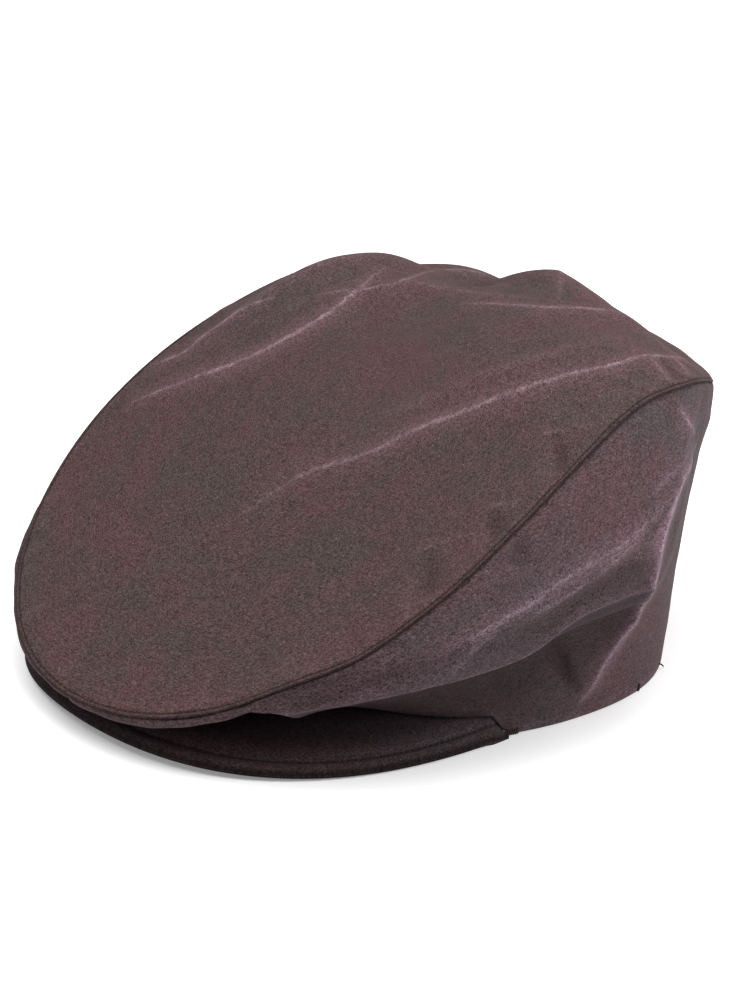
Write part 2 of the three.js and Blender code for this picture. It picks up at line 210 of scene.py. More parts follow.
LEFT_CREASES = (
    Crease(
        ((56, 26), (66, 29), (77, 32.5), (91, 34.5), (105, 36), (116, 38), (124, 41.5), (131, 46),
         (139, 49), (150, 49.5), (160, 48.5), (168, 46)),
        2.4, 9, 2.0, 0.4, 0.25,
    ),
    Crease(((46, 12), (49, 20), (49, 34)), -3.6, 2.4, 2.4, 0.8, 0),
    Crease(((56, 13), (57, 20), (58, 30)), 1.7, 2.5, 3, 0.8, 0.3),
    Crease(((118, 85), (120, 76), (118, 68)), -1.1, 3.5, 2.5, 0.8, -0.4),
    Crease(((131, 36), (134, 31), (138, 25), (141, 19), (146, 12)), -1.8, 4, 3, 0.8, -0.45),
    Crease(((186, 103), (188, 98), (193, 92), (200, 86)), 0.7, 2.5, 3, 0.4, 0.9),
    Crease(((200, 85), (188, 83), (176, 81), (165, 77)), 0.5, 3, 3, 0.5, 0.5),
    Crease(((192, 88), (204, 76), (214, 65), (224, 52)), -2.0, 7, 7, 2.5, 0),
    Crease(((204, 96), (214, 88), (224, 82), (232, 78)), 0.9, 5, 5, 1.5, 0),
    Crease(((88, 29), (105, 31), (120, 34), (138, 39), (152, 39), (164, 37)), -3.4, 2.6, 9, 1.0, 0),
    Crease(
        ((84, 40), (95, 45), (106, 50), (118, 55), (130, 61), (143, 65), (156, 68), (170, 73),
         (182, 77)),
        1.4, 9, 6, 0.7, 0.8,
    ),
    Crease(((117, 50), (126, 54), (134, 57), (142, 60), (152, 64), (164, 69)), 1.0, 3.5, 3, 0.5, 0.45),
    Crease(((116, 45), (126, 48), (135, 53), (146, 57), (158, 61)), -1.4, 3.5, 4, 1.0, 0),
    Crease(((91, 36), (95, 39), (99, 42), (104, 46), (111, 50)), 0.8, 3, 2.5, 0.4, 0.3),
    Crease(
        ((207, 79), (194, 79), (183, 77), (175, 71), (170, 64), (167, 57), (165, 49), (165, 40),
         (163, 33), (160, 26), (156, 20), (152, 14), (146, 6)),
        2.8, 5, 8, 0.5, 2.4,
    ),
)
RIGHT_CREASES = (
    Crease(((-44, 24), (-66, 27), (-88, 33), (-110, 38), (-132, 43), (-150, 42)), 2.0, 2.6, 9, 0.6, 0.2),
    Crease(((-90, 27), (-112, 31), (-134, 35), (-150, 34)), -2.6, 9, 3, 1.0, 0),
    Crease(((-92, 44), (-112, 52), (-136, 60), (-160, 64), (-186, 74)), 1.2, 6, 9, 0.7, 0.45),
    Crease(
        ((-214, 84), (-200, 74), (-188, 60), (-181, 44), (-170, 28), (-158, 14)),
        2.2, 8, 5, 0.5, 0.65,
    ),
    Crease(((-228, 60), (-214, 44), (-206, 26)), 0.9, 5, 4, 0.6, 0.35),
)
FOLD_FADE_POWER = 0.8
SEAM_SHIFT_POWER = 1.2

# How finely the cloth is cut
TOP_COLUMNS = 640
TOP_ROWS = 110
TOP_INNER_ROWS = 28
SIDE_COLUMNS = 340
SIDE_ROWS = 217
SIDE_INNER_STEP = 4
PEAK_COLUMNS = 400
PEAK_ROWS = 70

Surface = namedtuple("Surface", "outer inner normal from_seam place crests")


def smooth(xs, ys, x):
    """Smooth curve through knots, with slopes from the neighbours. ys may hold many curves."""
    ys = np.asarray(ys, float)
    spread = (-1,) + (1,) * (ys.ndim - 1)
    h = np.diff(xs).reshape(spread)
    chord = np.diff(ys, axis=0) / h
    slope = np.empty_like(ys)
    slope[0] = chord[0]
    slope[-1] = chord[-1]
    slope[1:-1] = (chord[:-1] * h[1:] + chord[1:] * h[:-1]) / (h[1:] + h[:-1])
    x = np.asarray(x, float)
    i = np.clip(np.searchsorted(xs, x, side="right") - 1, 0, len(xs) - 2)
    step = np.diff(xs)[i]
    t = (x - xs[i]) / step
    wide = x.shape + (1,) * (ys.ndim - 1)
    t, step = t.reshape(wide), step.reshape(wide)
    start = ys[i] * (1 + 2 * t) * (1 - t) ** 2 + slope[i] * step * t * (1 - t) ** 2
    end = ys[i + 1] * t * t * (3 - 2 * t) + slope[i + 1] * step * t * t * (t - 1)
    return start + end


def ring_of_sections():
    """The sections of both sides, run on past the centre back so that the curves close there."""
    ring = {}
    for name, column in SECTIONS.items():
        sign = -1 if name in ("angle", "seam_x") else 1
        turn = 360 if name == "angle" else 0
        mirrored = sign * column[:0:-1]
        before = column[-1 - RING_REPEATS:-1] - turn
        after = mirrored[1:1 + RING_REPEATS] + turn
        ring[name] = np.concatenate([before, mirrored, column, after])
    return ring


RING = ring_of_sections()


def section(name, angle):
    """A value of the sections table at any angle."""
    return smooth(RING["angle"], RING[name], angle)


TINY = 1e-12


def unit(vectors):
    """Vectors made one long."""
    return vectors / np.maximum(np.linalg.norm(vectors, axis=-1, keepdims=True), TINY)


def bell(distance, width):
    """Smooth bump, 1 at distance 0."""
    return np.exp(-(distance / width) ** 2)


def fading(distance, reach):
    """1 at distance 0, dying away over a reach."""
    return np.exp(-distance / reach)


def ease(low, high, x):
    """0 below low, 1 above high, smooth between."""
    t = np.clip((x - low) / (high - low), 0, 1)
    return t * t * (3 - 2 * t)


def front_rim_height(angle):
    """Height of the rim over the brow, before it comes down at the peak's corners."""
    return RIM_FRONT_LIFT * np.cos(np.radians(90 * np.abs(angle) / RIM_FRONT_LEVEL_ANGLE)) ** 2


CORNER_DROP = front_rim_height(PEAK_CORNER_ANGLE) - RIM_CORNER_LIFT


def rim_height(angle, drop_from=RIM_DROP_ANGLE):
    """Height of the rim above the floor. It comes down to the peak's corner from an angle on."""
    a = np.abs(angle)
    front = front_rim_height(a) - CORNER_DROP * ease(drop_from, PEAK_CORNER_ANGLE, a)
    share = (RIM_FLOOR_ANGLE - a) / (RIM_FLOOR_ANGLE - PEAK_CORNER_ANGLE)
    landing = RIM_CORNER_LIFT * np.maximum(share, 0) ** RIM_LANDING_POWER
    return np.where(a <= PEAK_CORNER_ANGLE, front, landing)


def outward(angle):
    """Direction straight out from the rim, seen from above."""
    a = np.radians(angle)
    out = np.stack([np.sin(a) / RIM_HALF_WIDTH, -np.cos(a) / RIM_HALF_LENGTH, 0 * a], -1)
    return unit(out)


def rim_point(angle, reach=0.0, shift=0.0):
    """Point on the rim, moved out by a reach and along the rim by a shift."""
    a = np.radians(angle)
    spread = smooth(RIM_SPREAD["angle"], RIM_SPREAD["factor"], np.abs(angle))
    out = outward(angle)
    x = RIM_HALF_WIDTH * np.sin(a) * spread + out[..., 0] * reach - out[..., 1] * shift
    y = -RIM_HALF_LENGTH * np.cos(a) * spread + out[..., 1] * reach + out[..., 0] * shift
    return np.stack([x, y, rim_height(angle) + 0 * x], -1)


def seam_height(angle):
    """Height of the seam. The wearer's left side is pushed up a little beside the brow."""
    return section("seam_z", angle) + SEAM_KINK * bell(angle - SEAM_KINK_ANGLE, SEAM_KINK_REACH)


def seam_point(angle):
    """Point on the seam that joins the top panel to the side panels."""
    return np.stack([section("seam_x", angle), section("seam_y", angle), seam_height(angle)], -1)


def fold_rise(u, v, folds):
    """Sum of the main folds at a place. Each is highest midway and dies away to both sides."""
    rise = np.zeros(np.broadcast(u, v).shape)
    for u0, v0, u1, v1, height, left, right in zip(*folds.values()):
        du, dv = u1 - u0, v1 - v0
        length = math.hypot(du, dv)
        along = ((u - u0) * du + (v - v0) * dv) / length ** 2
        across = ((v - v0) * du - (u - u0) * dv) / length
        fade = np.sin(np.pi * np.clip(along, 0, 1)) ** FOLD_FADE_POWER
        away = np.hypot(across, FOLD_SOFTNESS) - FOLD_SOFTNESS
        rise += height * fade * np.exp(-away / np.where(across > 0, left, right))
    return rise


BENT_STEPS = 28
CREASE_FADE_POWER = 0.6
FAR = 99.0


def crease_rise(u, v, creases):
    """Sum of the crisp creases at a place, and the nearest crest's signed distance, distance, paleness."""
    rise = np.zeros(np.broadcast(u, v).shape)
    crests = np.stack([rise + FAR, rise + FAR, rise], -1)
    for crease in creases:
        knots = np.array(crease.line, float)
        line = smooth(np.arange(len(knots)), knots, np.linspace(0, len(knots) - 1, BENT_STEPS + 1))
        at = length_along(line)
        nearest = np.full(rise.shape, np.inf)
        across, along = np.zeros(rise.shape), np.zeros(rise.shape)
        for (u0, v0), (du, dv), start, end in zip(line[:-1], np.diff(line, axis=0), at[:-1], at[1:]):
            t = np.clip(((u - u0) * du + (v - v0) * dv) / (end - start) ** 2, 0, 1)
            away = np.hypot(u - u0 - t * du, v - v0 - t * dv)
            closer = away < nearest
            nearest = np.where(closer, away, nearest)
            across = np.where(closer, ((v - v0) * du - (u - u0) * dv) / (end - start), across)
            along = np.where(closer, (start + t * (end - start)) / at[-1], along)
        fade = np.sin(np.pi * along) ** CREASE_FADE_POWER
        away = np.hypot(nearest, crease.softness) - crease.softness
        rise += crease.rise * fade * np.exp(-away / np.where(across > 0, crease.left, crease.right))
        if crease.pale:
            here = nearest < crests[..., 1]
            own = np.stack([across, nearest, crease.pale * fade], -1)
            crests = np.where(here[..., None], own, crests)
    return rise, crests


def crown_height(x, y):
    """Height of the top panel before its edge is brought down to the seam."""
    return smooth(TOP_PROFILE["y"], TOP_PROFILE["z"], y) - TOP_CAMBER * x * x


def top_face(angles, shares):
    """Grid of points on the top panel: share 0 is its middle and 1 the seam."""
    seam = seam_point(angles)
    s = shares[:, None]
    x, y = s * seam[:, 0], s * seam[:, 1]
    turn_down = (seam[:, 2] - crown_height(seam[:, 0], seam[:, 1])) * s ** TOP_EDGE_POWER
    crease = (1 - s ** TOP_FOLD_END_POWER) * fold_rise(x, y, TOP_FOLDS)
    return np.stack([x, y, crown_height(x, y) + turn_down + crease], -1)


# Round the peak's corners the side panel's sheet runs lower, and is cut off along the rim
TRIM_FROM_ANGLE = 46
TRIM_STEPS = 60
LEAST_TRIM = 0.01


def side_face(angles, shares):
    """Grid of points on the side panels: share 0 is the seam and 1 the rim."""
    out = outward(angles)
    offset = seam_point(angles) - rim_point(angles)
    seam_reach = offset[:, 0] * out[:, 0] + offset[:, 1] * out[:, 1]
    seam_shift = offset[:, 1] * out[:, 0] - offset[:, 0] * out[:, 1]
    bands = ("belly", "lip", "tuck")
    reaches = [section(band + "_reach", angles) for band in bands]
    heights = [section(band + "_z", angles) for band in bands]
    reaches = np.stack([seam_reach, *reaches, 0 * angles])
    heights = np.stack([seam_height(angles), *heights, rim_height(angles)])
    s = shares[:, None]
    z = smooth(SECTION_STEPS, heights, shares)
    reach = smooth(SECTION_STEPS, reaches, shares)
    down = np.broadcast_to(s, z.shape).copy()
    foot = rim_height(angles, TRIM_FROM_ANGLE)
    cut = np.flatnonzero(heights[-1] - foot > LEAST_TRIM)
    heights[-1] = foot
    steps = np.linspace(SECTION_STEPS[-2], 1, TRIM_STEPS)
    sheet_z = smooth(SECTION_STEPS, heights[:, cut], steps)[::-1]
    sheet_reach = smooth(SECTION_STEPS, reaches[:, cut], steps)[::-1]
    low = shares > SECTION_STEPS[-2]
    for k, c in enumerate(cut):
        reach[low, c] = np.interp(z[low, c], sheet_z[:, k], sheet_reach[:, k])
        down[low, c] = np.interp(z[low, c], sheet_z[:, k], steps[::-1])
    reach += np.sin(np.pi * down) * fold_rise(angles * SIDE_MM_PER_DEGREE, z, SIDE_FOLDS)
    swing = np.maximum(1 - down, 0) ** SEAM_SHIFT_POWER * seam_shift
    points = rim_point(np.broadcast_to(angles, z.shape), reach, swing)
    points[..., 2] = z
    return points


NORMAL_STEP_ANGLE = 0.4
NORMAL_STEP_SHARE = 0.004
LEAST_SHARE = 1e-4


def normals_of(face, angles, shares):
    """Directions square to a face of the crown, pointing out."""
    along_u = face(angles + NORMAL_STEP_ANGLE, shares) - face(angles - NORMAL_STEP_ANGLE, shares)
    low = np.maximum(shares - NORMAL_STEP_SHARE, LEAST_SHARE)
    along_v = face(angles, shares + NORMAL_STEP_SHARE) - face(angles, low)
    return unit(np.cross(along_v, along_u))


NEAR_SEAM_ON_TOP = 0.97
NEAR_SEAM_ON_SIDE = 0.03


def seam_mitre(angles):
    """Where the top and the side walls meet: the way to the inner corner, half the gap, the setback."""
    top = normals_of(top_face, angles, np.array([NEAR_SEAM_ON_TOP]))[0]
    wall = normals_of(side_face, angles, np.array([NEAR_SEAM_ON_SIDE]))[0]
    both = np.sum(top * wall, -1, keepdims=True)
    mitre = (top + wall) * WALL / (1 + both)
    along = seam_point(angles + NORMAL_STEP_ANGLE) - seam_point(angles - NORMAL_STEP_ANGLE)
    apart = unit(np.cross(mitre, along)) * GAP / 2
    setback = WALL * np.linalg.norm(top - wall, axis=-1) / np.linalg.norm(top + wall, axis=-1)
    return mitre, apart, setback


NOISE_CELLS = 64


def cloth_noise(u, v, seed):
    """Seeded gradient noise of two coordinates, about -0.7 to 0.7."""
    size = NOISE_CELLS
    turns = np.random.default_rng(seed).uniform(0, 2 * np.pi, (size, size))
    iu, iv = np.floor(u).astype(int), np.floor(v).astype(int)
    fu, fv = u - iu, v - iv

    def corner(du, dv):
        turn = turns[(iu + du) % size, (iv + dv) % size]
        return np.cos(turn) * (fu - du) + np.sin(turn) * (fv - dv)

    su = fu ** 3 * (fu * (fu * 6 - 15) + 10)
    sv = fv ** 3 * (fv * (fv * 6 - 15) + 10)
    near = corner(0, 0) * (1 - su) + corner(1, 0) * su
    far = corner(0, 1) * (1 - su) + corner(1, 1) * su
    return near * (1 - sv) + far * sv


def length_from_end(grid):
    """How far each point of a grid lies from its column's last point, along the column."""
    steps = np.linalg.norm(np.diff(grid, axis=0), axis=-1)
    back = np.cumsum(steps[::-1], axis=0)[::-1]
    return np.concatenate([back, np.zeros((1, grid.shape[1]))])


def length_along(line):
    """How far each point of a line lies from its first point."""
    steps = np.linalg.norm(np.diff(line, axis=0), axis=-1)
    return np.concatenate([[0], np.cumsum(steps)])


# Noise in layers: length along and across in millimetres, and weight
Layer = namedtuple("Layer", "along across weight")
PUCKER_LAYERS = (Layer(9, 22, 1.3), Layer(24.3, 40, 1.8))
PUCKER_REACH = 11
PUCKER_RISE = 0.55
WRINKLE_LAYERS = (Layer(70, 26, 0.55), Layer(34, 12, 0.3), Layer(15, 7, 0.14))
Seeds = namedtuple("Seeds", "gathers wrinkles")
TOP_SEEDS = Seeds(11, 21)
LEFT_SEEDS = Seeds(31, 51)
RIGHT_SEEDS = Seeds(41, 61)


def layered_noise(along, across, layers, seed):
    """Sum of noise layers, each with a seed of its own."""
    total = 0
    for k, layer in enumerate(layers):
        total = total + layer.weight * cloth_noise(along / layer.along, across / layer.across, seed + k)
    return total


def puckers(along, from_stitch, seed):
    """Small gathers square to a stitched seam, strongest beside the stitches."""
    noise = layered_noise(along, from_stitch, PUCKER_LAYERS, seed)
    return PUCKER_RISE * noise * bell(from_stitch, PUCKER_REACH)


def wrinkles(along, across, seed):
    """Faint soft wrinkles of worn waxed cloth, longer along than across."""
    return layered_noise(along, across, WRINKLE_LAYERS, seed)


# The sewn edge of the top panel: its turned-in allowance makes it stand proud as far as the stitches
EDGE_RISE = 0.15
EDGE_ROUNDING = 0.4
EDGE_SINK = 0.4
EDGE_SINK_REACH = 0.4
ALLOWANCE_ENDS = (3, 12)
STITCH_INSET = 1.8
STITCH_SINK = 0.16
STITCH_SINK_REACH = 0.5
TOP_TUCK = 0.5

# How the top panel's rows close up to the seam, and where its small relief begins and ends
TOP_ROW_POWER = 1.6
TOP_GATHER_ENDS = (0.5, 3)
TOP_WRINKLE_TURN = math.radians(24)
TOP_WRINKLE_ENDS = (4, 24)
TOP_WRINKLE_REAR = (-60, 20)
TOP_WRINKLE_FRONT_SHARE = 0.3
TOP_CREASE_ENDS = (1, 7)
TOP_INNER_LEAST_SHARE = 0.02


def top_surface():
    """The top panel's outer and inner faces."""
    angles = -180 + 360 * np.arange(TOP_COLUMNS) / TOP_COLUMNS
    shares = 1 - (1 - np.linspace(0, 1, TOP_ROWS)) ** TOP_ROW_POWER
    base = top_face(angles, shares)
    normal = normals_of(top_face, angles, shares)
    normal[0] = unit(normal[0].mean(0))
    mitre, apart, setback = seam_mitre(angles)
    from_seam = length_from_end(base)
    along = length_along(base[-1])[None, :]
    x, y = base[..., 0], base[..., 1]

    edge = EDGE_RISE * (1 - fading(from_seam, EDGE_ROUNDING)) * (1 - ease(*ALLOWANCE_ENDS, from_seam))
    groove = -STITCH_SINK * bell(from_seam - STITCH_INSET, STITCH_SINK_REACH)
    groove = groove - EDGE_SINK * fading(from_seam, EDGE_SINK_REACH)
    gathers = puckers(along, from_seam - STITCH_INSET, TOP_SEEDS.gathers) * ease(*TOP_GATHER_ENDS, from_seam)
    sine, cosine = math.sin(TOP_WRINKLE_TURN), math.cos(TOP_WRINKLE_TURN)
    loose = wrinkles(y * cosine + x * sine, x * cosine - y * sine, TOP_SEEDS.wrinkles)
    loose = loose * ease(*TOP_WRINKLE_ENDS, from_seam)
    front = TOP_WRINKLE_FRONT_SHARE
    loose = loose * (front + (1 - front) * ease(*TOP_WRINKLE_REAR, y))
    creases, crests = crease_rise(x, y, TOP_CREASES)
    inland = ease(*TOP_CREASE_ENDS, from_seam)
    crests[..., 2] *= inland
    raised = edge + groove + gathers + loose + creases * inland
    outer = base + normal * raised[..., None]
    outer[-1] = seam_point(angles) + apart - unit(mitre) * TOP_TUCK
    outer[0] = outer[0].mean(0)

    square = lambda a, s: normals_of(top_face, a, s)
    length = np.linalg.norm(base[-1] - base[0], axis=-1)
    inner = np.empty((TOP_INNER_ROWS, TOP_COLUMNS, 3))
    for r, share in enumerate(np.linspace(0, 1, TOP_INNER_ROWS)):
        inset = share * (1 - setback / length)
        inner[r] = column_points(top_face, angles, inset)
        inner[r] -= WALL * column_points(square, angles, np.maximum(inset, TOP_INNER_LEAST_SHARE))
    inner[0] = inner[0].mean(0)
    inner[-1] = seam_point(angles) - mitre + apart
    place = np.stack([x, profile_length(y), from_seam], -1)
    return Surface(outer, inner, normal, from_seam, place, crests)


LEAST_STEP = 1e-6
PROFILE_OVERRUN = 5
PROFILE_STEPS = 400


def column_points(face, angles, shares):
    """Points of a face at one share for each angle, read between close rows of a grid."""
    low, high = float(shares.min()), float(shares.max())
    ends = face(angles, np.array([low, max(high, low + LEAST_STEP)]))
    t = ((shares - low) / max(high - low, LEAST_STEP))[:, None]
    return ends[0] * (1 - t) + ends[1] * t


def profile_length(y):
    """Length along the top panel's middle line, from its front end to y."""
    knots = TOP_PROFILE["y"]
    ys = np.linspace(knots[0] - PROFILE_OVERRUN, knots[-1] + PROFILE_OVERRUN, PROFILE_STEPS)
    zs = smooth(knots, TOP_PROFILE["z"], ys)
    return np.interp(y, ys, length_along(np.stack([ys, zs], -1)))


# The side panels: how their edges sink in the seams, and where their small relief begins and ends
HEM_RADIUS = 0.8
HEM_EDGE = 0.05
SIDE_EVEN_ROWS = 0.3
SIDE_SINK = 1.1
SIDE_SINK_REACH = 0.9
SIDE_TUCK = 0.7
SIDE_GATHERS = 0.7
SIDE_WRINKLE_SEAM_ENDS = (3, 18)
SIDE_WRINKLE_RIM_ENDS = (3, 20)
SIDE_CREASE_SEAM_ENDS = (0.5, 5)
SIDE_CREASE_RIM_ENDS = (1, 8)
MIDDLE_SINK = 0.6
MIDDLE_SINK_REACH = 0.8
# The two panels overlap a little at the centre seams, so that no light comes through
MIDDLE_OVERLAP = 0.03
SLOPE_ROW = 3


def rounding(distance, radius):
    """How far a round edge of that radius falls back at a distance from the edge."""
    short = np.clip(radius - distance, 0, radius)
    return radius - np.sqrt(radius ** 2 - short ** 2)


def from_middle(u):
    """Distance round the cap to the nearer centre seam, in front or behind."""
    return np.minimum(np.abs(u), 180 * SIDE_MM_PER_DEGREE - np.abs(u))


def side_surface(side):
    """The outer and inner faces of the wearer's left (1) or right (-1) side panel."""
    angles = np.linspace(min(180 * side, 0), max(180 * side, 0), SIDE_COLUMNS)
    t = np.linspace(0, 1, SIDE_ROWS)
    shares = SIDE_EVEN_ROWS * t + (1 - SIDE_EVEN_ROWS) * (0.5 - 0.5 * np.cos(np.pi * t))
    base = side_face(angles, shares)
    normal = normals_of(side_face, angles, shares)
    mitre, apart, setback = seam_mitre(angles)
    from_rim = length_from_end(base)
    from_seam = from_rim[0] - from_rim
    along = length_along(base[0])[None, :]
    u, z = np.broadcast_to(angles * SIDE_MM_PER_DEGREE, from_rim.shape), base[..., 2]

    sunk = -SIDE_SINK * fading(from_seam, SIDE_SINK_REACH)
    sewn = -MIDDLE_SINK * fading(from_middle(u), MIDDLE_SINK_REACH)
    seeds = LEFT_SEEDS if side > 0 else RIGHT_SEEDS
    gathers = SIDE_GATHERS * puckers(along, from_seam, seeds.gathers)
    loose = wrinkles(u, z, seeds.wrinkles) * ease(*SIDE_WRINKLE_SEAM_ENDS, from_seam)
    loose = loose * ease(*SIDE_WRINKLE_RIM_ENDS, from_rim)
    creases, crests = crease_rise(u, z, LEFT_CREASES if side > 0 else RIGHT_CREASES)
    inland = ease(*SIDE_CREASE_SEAM_ENDS, from_seam) * ease(*SIDE_CREASE_RIM_ENDS, from_rim)
    crests[..., 2] *= inland
    fall = rounding(from_rim, HEM_RADIUS)
    bent = creases * inland + np.minimum(gathers + loose, 0)
    raised = sunk + np.maximum(gathers + loose, 0) + bent + sewn - fall
    outer = base + normal * raised[..., None]
    outer[0] = seam_point(angles) - apart - unit(mitre) * SIDE_TUCK

    slope = from_seam[SLOPE_ROW] / shares[SLOPE_ROW]
    inset = shares[:, None] + (setback / slope)[None, :] * (1 - shares[:, None])
    low = np.clip(np.searchsorted(shares, inset, side="right") - 1, 0, SIDE_ROWS - 2)
    t = ((inset - shares[low]) / (shares[low + 1] - shares[low]))[..., None]
    columns = np.arange(SIDE_COLUMNS)[None, :]
    between = lambda grid: grid[low, columns] * (1 - t) + grid[low + 1, columns] * t
    inner = between(base + normal * bent[..., None]) - unit(between(normal)) * (WALL - fall)[..., None]
    inner[0] = seam_point(angles) - mitre - apart
    inner = inner[::SIDE_INNER_STEP]
    outer[-1] = base[-1] - outward(angles) * WALL / 2
    inner[-1] = outer[-1] - outward(angles) * HEM_EDGE
    for grid in (outer, inner):
        grid[..., 2] = np.maximum(grid[..., 2], 0)
        grid[:, np.abs(angles) % 180 == 0, 0] = -side * MIDDLE_OVERLAP
    place = np.stack([u, from_seam, from_rim], -1)
    return Surface(outer, inner, normal, from_seam, place, crests)


def peak_edge(share):
    """Outer edge of the peak's upper face, from one corner (-1) round the front to the other (1)."""
    corner = rim_point(np.array(float(PEAK_END_ANGLE)), PEAK_CORNER_REACH)
    sine = corner[0] / PEAK_HALF_WIDTH
    last_angle = 180 - math.degrees(math.asin(sine))
    half_length = (corner[1] + PEAK_FRONT) / (1 + math.sqrt(1 - sine * sine))
    angle = np.abs(share) * last_angle
    a = np.radians(angle)
    full = 1 + PEAK_FULLNESS * np.sin(np.minimum(2 * a, np.pi)) ** 2
    drop = np.minimum(angle / PEAK_FLOOR_ANGLE, 1)
    x = np.sign(share) * PEAK_HALF_WIDTH * np.sin(a) * full
    y = half_length - PEAK_FRONT - half_length * np.cos(a) * full
    lift = PEAK_FRONT_LIFT * (0.5 + 0.5 * np.cos(np.pi * drop))
    lift = lift - PEAK_TIP_THINNING * ease(PEAK_TIP_FROM, 1, np.abs(share))
    return np.stack([x, y, PEAK_THICKNESS + lift], -1)


# The peak's rows, the strip that goes in under the side panels, and its stitched and rounded edge
PEAK_ROW_POWER = 1.7
PEAK_INSIDE_ROWS = 4
PEAK_INSIDE_REACH = 3.2
PEAK_INSIDE_RISE = 2.5
PEAK_STITCH_INSET = 4.6
PEAK_STITCH_SINK = 0.4
PEAK_STITCH_SINK_REACH = 0.8
PEAK_STITCH_SINK_BELOW = 0.6
PEAK_SWELL = 0.25
PEAK_SWELL_INSET = 2.2
PEAK_SWELL_REACH = 1.4
PEAK_ROUNDING = 0.92
PEAK_CORNER_SQUARENESS = 0.75
PEAK_CORNER_SQUARE_FROM = 0.9


def peak_surface():
    """The peak's upper and lower faces, with its rows from inside the rim out to its edge."""
    shares = np.linspace(-1, 1, PEAK_COLUMNS)
    inside = np.linspace(-1, 0, PEAK_INSIDE_ROWS, endpoint=False)
    outside = 1 - (1 - np.linspace(0, 1, PEAK_ROWS - PEAK_INSIDE_ROWS)) ** PEAK_ROW_POWER
    out = np.concatenate([inside, outside])[:, None]
    angles = np.broadcast_to(shares * PEAK_END_ANGLE, (PEAK_ROWS, PEAK_COLUMNS))
    upper = rim_point(angles, np.minimum(out, 0) * PEAK_INSIDE_REACH)
    upper[..., 2] += PEAK_INSIDE_RISE * ease(WALL / PEAK_INSIDE_REACH, 1, -out) - GAP
    reach = np.maximum(out, 0)
    upper = upper * (1 - reach[..., None]) + peak_edge(shares)[None] * reach[..., None]
    upper[..., 2] += PEAK_DOME * np.sin(np.pi * reach) * (1 - shares ** 2)
    thicker = (PEAK_CORNER_THICKNESS - PEAK_THICKNESS) * shares ** PEAK_CORNER_POWER * (1 - reach)
    lower = upper.copy()
    lower[..., 2] -= PEAK_THICKNESS + thicker

    from_edge = length_from_end(upper)
    square = PEAK_CORNER_SQUARENESS * ease(PEAK_CORNER_SQUARE_FROM, 1, np.abs(shares))
    fall = rounding(from_edge, PEAK_THICKNESS / 2) * (PEAK_ROUNDING - square)
    stitched = PEAK_STITCH_SINK * bell(from_edge - PEAK_STITCH_INSET, PEAK_STITCH_SINK_REACH)
    swell = PEAK_SWELL * bell(from_edge - PEAK_SWELL_INSET, PEAK_SWELL_REACH)
    upper[..., 2] += swell - stitched - fall
    lower[..., 2] += fall + stitched * PEAK_STITCH_SINK_BELOW
    lower[..., 2] = np.maximum(lower[..., 2], 0)
    normal = unit(np.cross(np.gradient(upper, axis=0), np.gradient(upper, axis=1)))
    normal *= np.sign(normal[..., 2:3])
    place = np.stack([upper[..., 0], upper[..., 1], from_edge], -1)
    crests = np.full(place.shape, FAR) * (1, 1, 0)
    return Surface(upper, lower, normal, from_edge, place, crests)


# Bending is read over a reach; where the points lie closer than a share of it there is none to read
SHORT_SHARE = 0.3
LEAST_SPACING = 1e-3
WIDEST_STEP_PART = 8


def curvature(grid, normal, reach, ring):
    """Greatest bending of a grid over a reach, positive on crests."""
    rows, columns = grid.shape[:2]
    places = length_along(grid.mean(1) if not ring else grid[:, 0])

    def bending(ahead, back, here, square):
        a, b = ahead - here, back - here
        la, lb = np.linalg.norm(a, axis=-1), np.linalg.norm(b, axis=-1)
        short = np.minimum(la, lb) < reach * SHORT_SHARE
        la, lb = np.maximum(la, LEAST_STEP), np.maximum(lb, LEAST_STEP)
        bend = -np.sum((a / la[:, None] + b / lb[:, None]) * square, -1) * 2 / (la + lb)
        return np.where(short, 0, bend)

    crest = np.zeros((rows, columns))
    for r in range(rows):
        spacing = np.linalg.norm(grid[r, 1:] - grid[r, :-1], axis=-1).mean()
        step = round(reach / max(spacing, LEAST_SPACING))
        step = int(np.clip(step, 1, columns // WIDEST_STEP_PART))
        index = np.arange(columns)
        ahead = (index + step) % columns if ring else np.minimum(index + step, columns - 1)
        back = (index - step) % columns if ring else np.maximum(index - step, 0)
        round_bend = bending(grid[r, ahead], grid[r, back], grid[r], normal[r])
        down = min(int(np.searchsorted(places, places[r] + reach)), rows - 1)
        up = max(int(np.searchsorted(places, places[r] - reach)), 0)
        if down > r > up:
            down_bend = bending(grid[down], grid[up], grid[r], normal[r])
        else:
            down_bend = np.zeros(columns)
        crest[r] = np.maximum(round_bend, down_bend)
    return crest


# Crests from the bending of the cloth, where pale wear, painted highlight and painted sheen go: sharp
# ones, soft ones, and what is left of them at a seam
CREST_REACH = 2.2
CREST_BEND = 0.11
SOFT_CREST_REACH = 8
SOFT_CREST_BEND = 0.03
CREST_SEAM_ENDS = (2, 9)
CREST_SEAM_SHARE = 0.25
SEAM_SHADE_REACH = 0.95
HEM_WEAR = 1.0
HEM_WEAR_REACH = 0.9
EDGE_WEAR = 0.55
EDGE_WEAR_INSET = 1.0
EDGE_WEAR_REACH = 0.6
